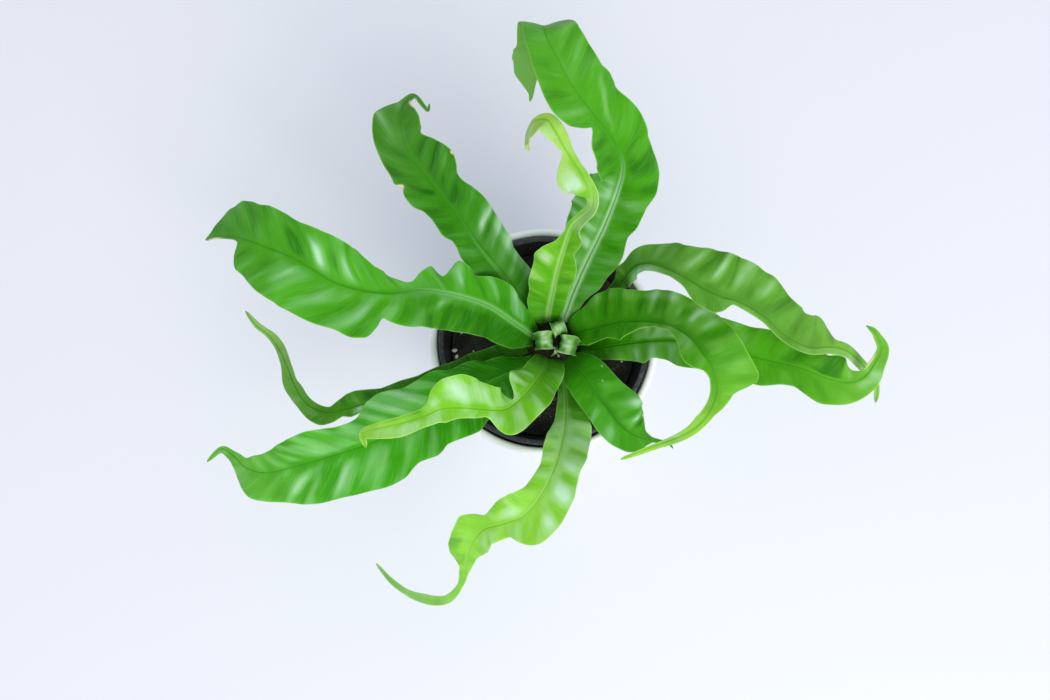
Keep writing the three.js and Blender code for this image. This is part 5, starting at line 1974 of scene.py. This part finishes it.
            crests_left=(22, 48, 76, 104, 130, 152), crests_right=(20, 36, 54, 78, 106, 136),
            midrib=rows("""13 2 94, 17 3 104, 25 3 118, 34 2 136, 43 -1 152, 50 -5 164, 56 -11 172,
        60 -18 176, 63 -23 176, 65 -28 173, 66 -33 167, 65 -39 158, 62 -44 149, 56 -48 142,
        45 -52 132, 33 -57 124"""),
            left=rows("""0 3, 10 8, 20 11, 28 14.5, 36 16.3, 42 15.3, 50 13, 57 13.5, 64 14.5, 70 14,
        76 13, 83 13, 90 14, 96 14.8, 102 14, 107 14, 111 15.6, 114.5 17.6, 118 17.6, 118.6 15,
        119.6 7.5, 121 7, 126 4.8, 132 2.6, 142 2.2, 160 2, 175 1.5, 183 .7"""),
            right=rows("""0 3, 10 6, 20 8, 28 7, 37 6.5, 44 8, 50 9, 55 6.5, 60 3.7, 65 2.5, 72 2,
        80 2.4, 86 3.8, 91 6, 96 8, 100 8.5, 103 7, 106 4, 110 2.6, 125 2.6, 138 3.4, 150 2, 165 .9,
        183 .7"""),
        ),
        BladeMarks(
            slant=(0.15, 0.3),
            lie=rows("""0 -.5 0, 25 .1 -.4, 45 -.2 -.1, 70 .2 .5, 90 .3 .8, 110 0 0, 140 .2 .3,
        155 .7 .9, 180 .5 .6"""),
            streaks=marks_of(PaintedStreak, """40 60 1 .5 .55 1.2 0, 53 3 1 .4 .1 .9 .1, 58 5 1 -.5 .1 .9 .1,
        64 4 1 .3 .1 .9 .1, 72 5 1 -.4 .1 .9 .15, 79 3 1 .8 .2 .9 .1, 86 3 1 .9 .2 .95 .1,
        92 3 1 .8 .2 .95 .1, 96 4 1 -.3 .1 1 .1, 16 8 1 .3 .2 .8 .3, 76 44 1 .6 .55 1.2 0"""),
        ),
    ),
    Frond(
        "frond_east_low", Age.GROWN,
        LeafTissue(
            "#257D02", "#51AF14", "#6AAB34", "#247304", "#84C752", "#3A8418", "#3D9014", edge="#A1CF68",
            rib_half=(0.8, 0.5), rib_clear=0.35, thread=0.15,
        ),
        BladeShape(
            fold=(20, 6), rise=1,
            crests_left=(30, 54, 80, 104, 128, 150), crests_right=(24, 46, 70, 102, 128, 152),
            midrib=rows("""16 -3 87, 22 -4 94, 32 -4 106, 45 -4 119, 58 -6 133, 71 -11 144,
        86 -16 153, 103 -21 158, 112 -25 159, 121 -27 159, 127 -25 161, 130 -20 165, 131 -15 170,
        128 -11 174, 126 -9 176, 123 -7 177"""),
            left=rows("""0 3, 12 5, 30 7, 50 9, 65 11.5, 79 13, 90 13, 104 11.6, 117 9.3, 125 8.6,
        130 9.8, 134.5 10, 137 7.5, 139 5, 141 4, 144 2.4, 158 1.7, 168 1.2, 170 .7"""),
            right=rows("""0 3, 12 5, 25 6.5, 38 9, 46 10, 51 8, 57 9, 68 11.5, 80 10.5, 92 10.5,
        103 11.5, 111 9, 116 8.5, 127 11, 135 9.5, 143 6.5, 150 4.2, 160 2.4, 168 1.2, 170 .7"""),
        ),
        BladeMarks(
            slant=(0.4, 0.4),
            lie=rows("""0 .4 .9, 15 -.6 .1, 30 -.1 .4, 45 .9 .8, 60 1.2 .8, 95 .4 .3, 105 -.3 0,
        115 -.6 -.2, 130 -1.1 0, 138 -.2 .2, 146 .7 .9, 155 .2 .1, 170 -.1 -.1"""),
            streaks=marks_of(PaintedStreak, """90 6 1 .5 .1 1 .3, 84.5 4 1 -.3 .1 1 .3, 136 5 1 1 0 1.1 .2,
        140 7 -1 .5 0 .8 .2, 110 8 -1 .4 .1 1 .3"""),
            scars=marks_of(Scar, """150 10 1 1.2"""),
        ),
    ),
    Frond(
        "frond_northeast", Age.GROWN,
        LeafTissue(
            "#305D1A", "#519326", "#7EBC44", "#215309", "#86C15D", "#3E7228", "#3A771E", edge="#AACD84",
            rib_half=(0.8, 0.45), rib_clear=0.35, thread=0.15,
        ),
        BladeShape(
            fold=(18, 4), rise=1.1,
            crests_left=(60, 84, 104, 130, 156, 176), crests_right=(64, 90, 112, 126, 154, 176),
            midrib=rows("""13 6 88, 21 10 95, 28 15 106, 32 19 118, 34 21 132, 35 21 147, 37 21 160,
        41 19 171, 46 15 179, 52 10 185, 59 5 187, 66 2 187, 72 0 187, 82 -5 184, 90 -11 180,
        101 -15 174, 112 -14 168, 122 -15 160, 134 -22 149, 140 -27 141, 142 -33 134"""),
            left=rows("""0 3, 10 4, 35 3.5, 50 3.4, 60 4.8, 78 6, 85 7, 95 10, 100 11, 105 10.6,
        110 12.6, 115 15.4, 120 16.8, 126 16, 132 15.5, 138 15.5, 143 15.8, 147 14.2, 150 12,
        154 11.6, 160 12.2, 167 12.8, 172 12.6, 176 12.4, 180 12, 184 7, 187.5 3.2, 200 2.5, 225 1.7,
        236 .7"""),
            right=rows("""0 3, 10 4, 40 3.8, 50 3.2, 62 5, 80 5.2, 100 2.8, 108 2.4, 115 3.4, 122 7,
        128 7.4, 131 5.4, 133 1.8, 145 2.2, 160 2.6, 190 3, 220 2.2, 236 .7"""),
        ),
        BladeMarks(
            slant=(0.25, 0.3),
            lie=rows("""0 0 0, 50 0 .4, 64 .1 0, 75 .3 .8, 95 .4 .9, 115 .2 .2, 140 .2 .4, 150 -.2 .1,
        160 -.1 -.3, 172 -.2 .6, 195 -.1 .5, 205 .4 .9, 235 0 .3"""),
            streaks=marks_of(PaintedStreak, """101 5 1 .5 .1 1 .2, 107 3 1 -.2 .1 1 .2, 111.5 3 1 .4 .1 1 .2,
        116 3 1 -.3 .05 1 .2, 122.5 5 1 .5 .1 1 .2, 129 3 1 -.2 .1 1 .2, 138 12 1 .5 .2 1.1 .3,
        86 4 1 -.2 .1 1 .2, 82 26 -1 .7 .3 1.2 0"""),
        ),
    ),
)


@dataclass(frozen=True)
class CrozierShape:
    """How a rolled young frond stands, in mm, as in the model. Heading is in degrees from +X."""

    x: float
    y: float
    foot: float
    top: float
    heading: float
    roll: float
    width: float
    turns: float


@dataclass
class Croziers:
    """The four young fronds that are still rolled up, in the middle of the crown."""

    foot_lean: float = 0.3
    bend_lean: float = 0.85
    foot_half: float = 1.6
    bend_half: float = 2.4
    steps_per_turn: int = 8
    radius_loss: float = 0.62
    width_loss: float = 0.45
    neck_share: float = 0.85
    half_columns: int = 14
    first_seed: int = 60
    relief: BladeRelief = BladeRelief(
        crisp=0.1, crisp_length=2.9, pleat=0.04, pleat_length=1.1, frill=0.4, frill_length=5.1,
        nick=0.07, nick_length=2.3, rib=0.0, rib_place=0.0, groove=0.0, keel=0.3, tissue=0.7, valley=0.4,
        least=0.8, flare=-1.5,
    )
    # Strong painted highlight and shade on the folds, and a white painted sheen for the glints.
    tissue: LeafTissue = LeafTissue(
        "#3A7A1E", "#74B84A", "#68A844", "#2A5E16", "#C0E69C", "#9CCB7E", "#5F9A42", painted_sheen="#FFFFFF",
        edge="#CFE6B6", under="#5F9A42", ridge_highlight=0.8, trough_shade=1.0, vein_gap=0.7, fold_gap=1.8, fold_depth=0.2,
        rib_half=(0.7, 0.4), rib_clear=0.1, thread=0.1, sheen=0.14, hem=0.8,
    )
    shapes: dict[str, CrozierShape] = field(default_factory=lambda: {
        "crozier_west": CrozierShape(0.4, -2, 96, 111.2, 5, 4, 9.2, 1.4),
        "crozier_north": CrozierShape(6.6, 4, 96, 110, -70, 3.1, 7.6, 1.3),
        "crozier_east": CrozierShape(10.7, -3.9, 96, 111, 165, 4, 9.6, 1.4),
        "crozier_south": CrozierShape(5.5, -5.5, 94, 104.2, 85, 1.2, 2.1, 0.6),
    })

    def build(self) -> list[bpy.types.Object]:
        """Makes the croziers and dresses them.

        Returns:
            Their objects.
        """
        tissue = self.tissue.make("crozier_tissue")
        pieces = []
        for seed, (name, shape) in enumerate(self.shapes.items(), self.first_seed):
            maker = MeshMaker(FLOW, TONE, SKIN)
            blade = self._blade(shape)
            Blade(blade, self.relief, seed, self._painted_glints_and_shade(blade), self.half_columns).add_to(maker)
            pieces.append(dressed(maker.make(f"rolled_{name}", tissue), name))
        return pieces

    def _painted_glints_and_shade(self, blade: BladeShape) -> BladeMarks:
        """Paints pale glints where the wax shines on top of the roll, and painted shade at its foot and
        inside.

        Args:
            blade: The crozier's strap.

        Returns:
            The strap's marks.
        """
        top = max(range(len(blade.midrib)), key=lambda i: blade.midrib[i][2])
        place = blade.left[top][0]
        streaks = []
        for side in (-1, 1):
            # Two painted glints on top of the roll, then painted shade before and after it.
            streaks.append(PaintedStreak(place - 0.2, 3.0, side, 2.3, -0.6, 0.6, 0.1))
            streaks.append(PaintedStreak(place + 1.4 * side, 2.4, side, 1.7, 0.35, 1.3, 0.3))
            streaks.append(PaintedStreak(place - 4.2, 3.6, side, -1.3, -0.4, 1.4, 0.0))
            streaks.append(PaintedStreak(place + 5.2, 3.2, side, -1.2, -0.4, 1.4, 0.0))
        return BladeMarks((0.15, 0.3), streaks=tuple(streaks))

    def _blade(self, shape: CrozierShape) -> BladeShape:
        """Draws the crozier's strap: up the stalk, then round a spiral that shrinks, as in the model.

        Args:
            shape: The crozier's sizes.

        Returns:
            The strap.
        """
        turn = math.radians(shape.heading)
        middle = shape.top - shape.roll
        midrib = []
        pairs = []

        def grow(forward: float, height: float, half: float) -> None:
            """Adds a point and the half width there.

            Args:
                forward: How far along the heading it is.
                height: Its height.
                half: The half width.
            """
            point = (shape.x + forward * math.cos(turn), shape.y + forward * math.sin(turn), height)
            place = pairs[-1][0] + math.dist(midrib[-1], point) if pairs else 0.0
            midrib.append(point)
            pairs.append((place, half))

        grow(-shape.roll * self.foot_lean, shape.foot, self.foot_half)
        grow(-shape.roll * self.bend_lean, (shape.foot + middle) / 2, self.bend_half)
        steps = round(shape.turns * self.steps_per_turn)
        for i in range(steps + 1):
            share = i / steps
            angle = math.pi - math.tau * shape.turns * share
            radius = shape.roll * (1 - self.radius_loss * share)
            half = shape.width / 2 * (1 - self.width_loss * share) * (self.neck_share if i == 0 else 1)
            grow(radius * math.cos(angle), middle + radius * math.sin(angle), half)
        return BladeShape(tuple(midrib), tuple(pairs), tuple(pairs))


@dataclass
class Studio:
    """The photograph's view, with a plain pale floor and soft light from the photograph's lower right."""

    camera_place: tuple[float, float, float] = (-9.0, -66.3, 510.0)
    camera_tilt: float = 8.5
    nearest: float = 0.01
    lens: float = 30.0
    sensor: float = 36.0
    floor_half: float = 2500.0
    sky: str = "#EDF2FB"
    sky_strength: float = 0.8
    key_place: tuple[float, float, float] = (700.0, -1400.0, 1900.0)
    key_aim: tuple[float, float, float] = (0.0, 0.0, 120.0)
    key_size: float = 1.6
    key_power: float = 40.0
    key_color: str = "#FFFBF4"

    def build(self) -> None:
        """Sets up the floor, the light and the camera."""
        scene = bpy.context.scene
        scene.view_settings.view_transform = "Standard"
        self._lay_floor()
        self._light(scene)
        self._place_camera(scene)

    def _lay_floor(self) -> None:
        """Lays the floor under the pot's foot."""
        half = self.floor_half
        maker = MeshMaker()
        corners_of_floor = [(-half, -half, 0.0), (half, -half, 0.0), (half, half, 0.0), (-half, half, 0.0)]
        maker.add(np.array(corners_of_floor), [[0, 1, 2, 3]])
        maker.make("studio_floor", StudioFloor().make())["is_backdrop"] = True

    def _light(self, scene: bpy.types.Scene) -> None:
        """Lights the scene with a pale even sky and one soft lamp.

        Args:
            scene: What is lit.
        """
        world = bpy.data.worlds.new("studio_sky")
        world.use_nodes = True
        background = world.node_tree.nodes["Background"]
        background.inputs["Color"].default_value = linear(self.sky)
        background.inputs["Strength"].default_value = self.sky_strength
        scene.world = world
        lamp = bpy.data.lights.new("window", "AREA")
        lamp.shape = "DISK"
        lamp.size = self.key_size
        lamp.energy = self.key_power
        lamp.color = linear(self.key_color)[:3]
        window = bpy.data.objects.new("window", lamp)
        window.location = Vector(self.key_place) * MM
        towards = Vector(self.key_aim) * MM - window.location
        window.rotation_euler = towards.to_track_quat("-Z", "Y").to_euler()
        scene.collection.objects.link(window)

    def _place_camera(self, scene: bpy.types.Scene) -> None:
        """Places the camera where the photograph was taken from.

        Args:
            scene: What it looks at.
        """
        camera = bpy.data.cameras.new("photo_view")
        camera.lens = self.lens
        camera.sensor_width = self.sensor
        camera.clip_start = self.nearest
        holder = bpy.data.objects.new("photo_view", camera)
        holder.location = Vector(self.camera_place) * MM
        holder.rotation_euler = (math.radians(self.camera_tilt), 0.0, 0.0)
        scene.collection.objects.link(holder)
        scene.camera = holder


def corners(box: tuple[Sequence[float], Sequence[float]]) -> list[list[float]]:
    """A box's corners as plain lists."""
    return [[float(value) for value in corner] for corner in box]


def main() -> None:
    """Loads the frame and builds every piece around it."""
    logging.basicConfig(level=logging.INFO, format="%(name)s: %(message)s")
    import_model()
    packed = corners(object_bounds())
    Studio().build()
    nursery = NurseryPot()
    pieces = [CoverPot().build(), nursery.build(), PottingSoil(nursery).build(), Crown().build()]
    pieces += [frond.build(seed * SEED_STEP) for seed, frond in enumerate(FRONDS)]
    pieces += Croziers().build()
    for piece in pieces:
        LOG.info("%s: %d faces", piece.name, len(piece.data.polygons))
    json.dumps({"cad": packed, "visual": corners(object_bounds())})


if __name__ == "__main__":
    main()
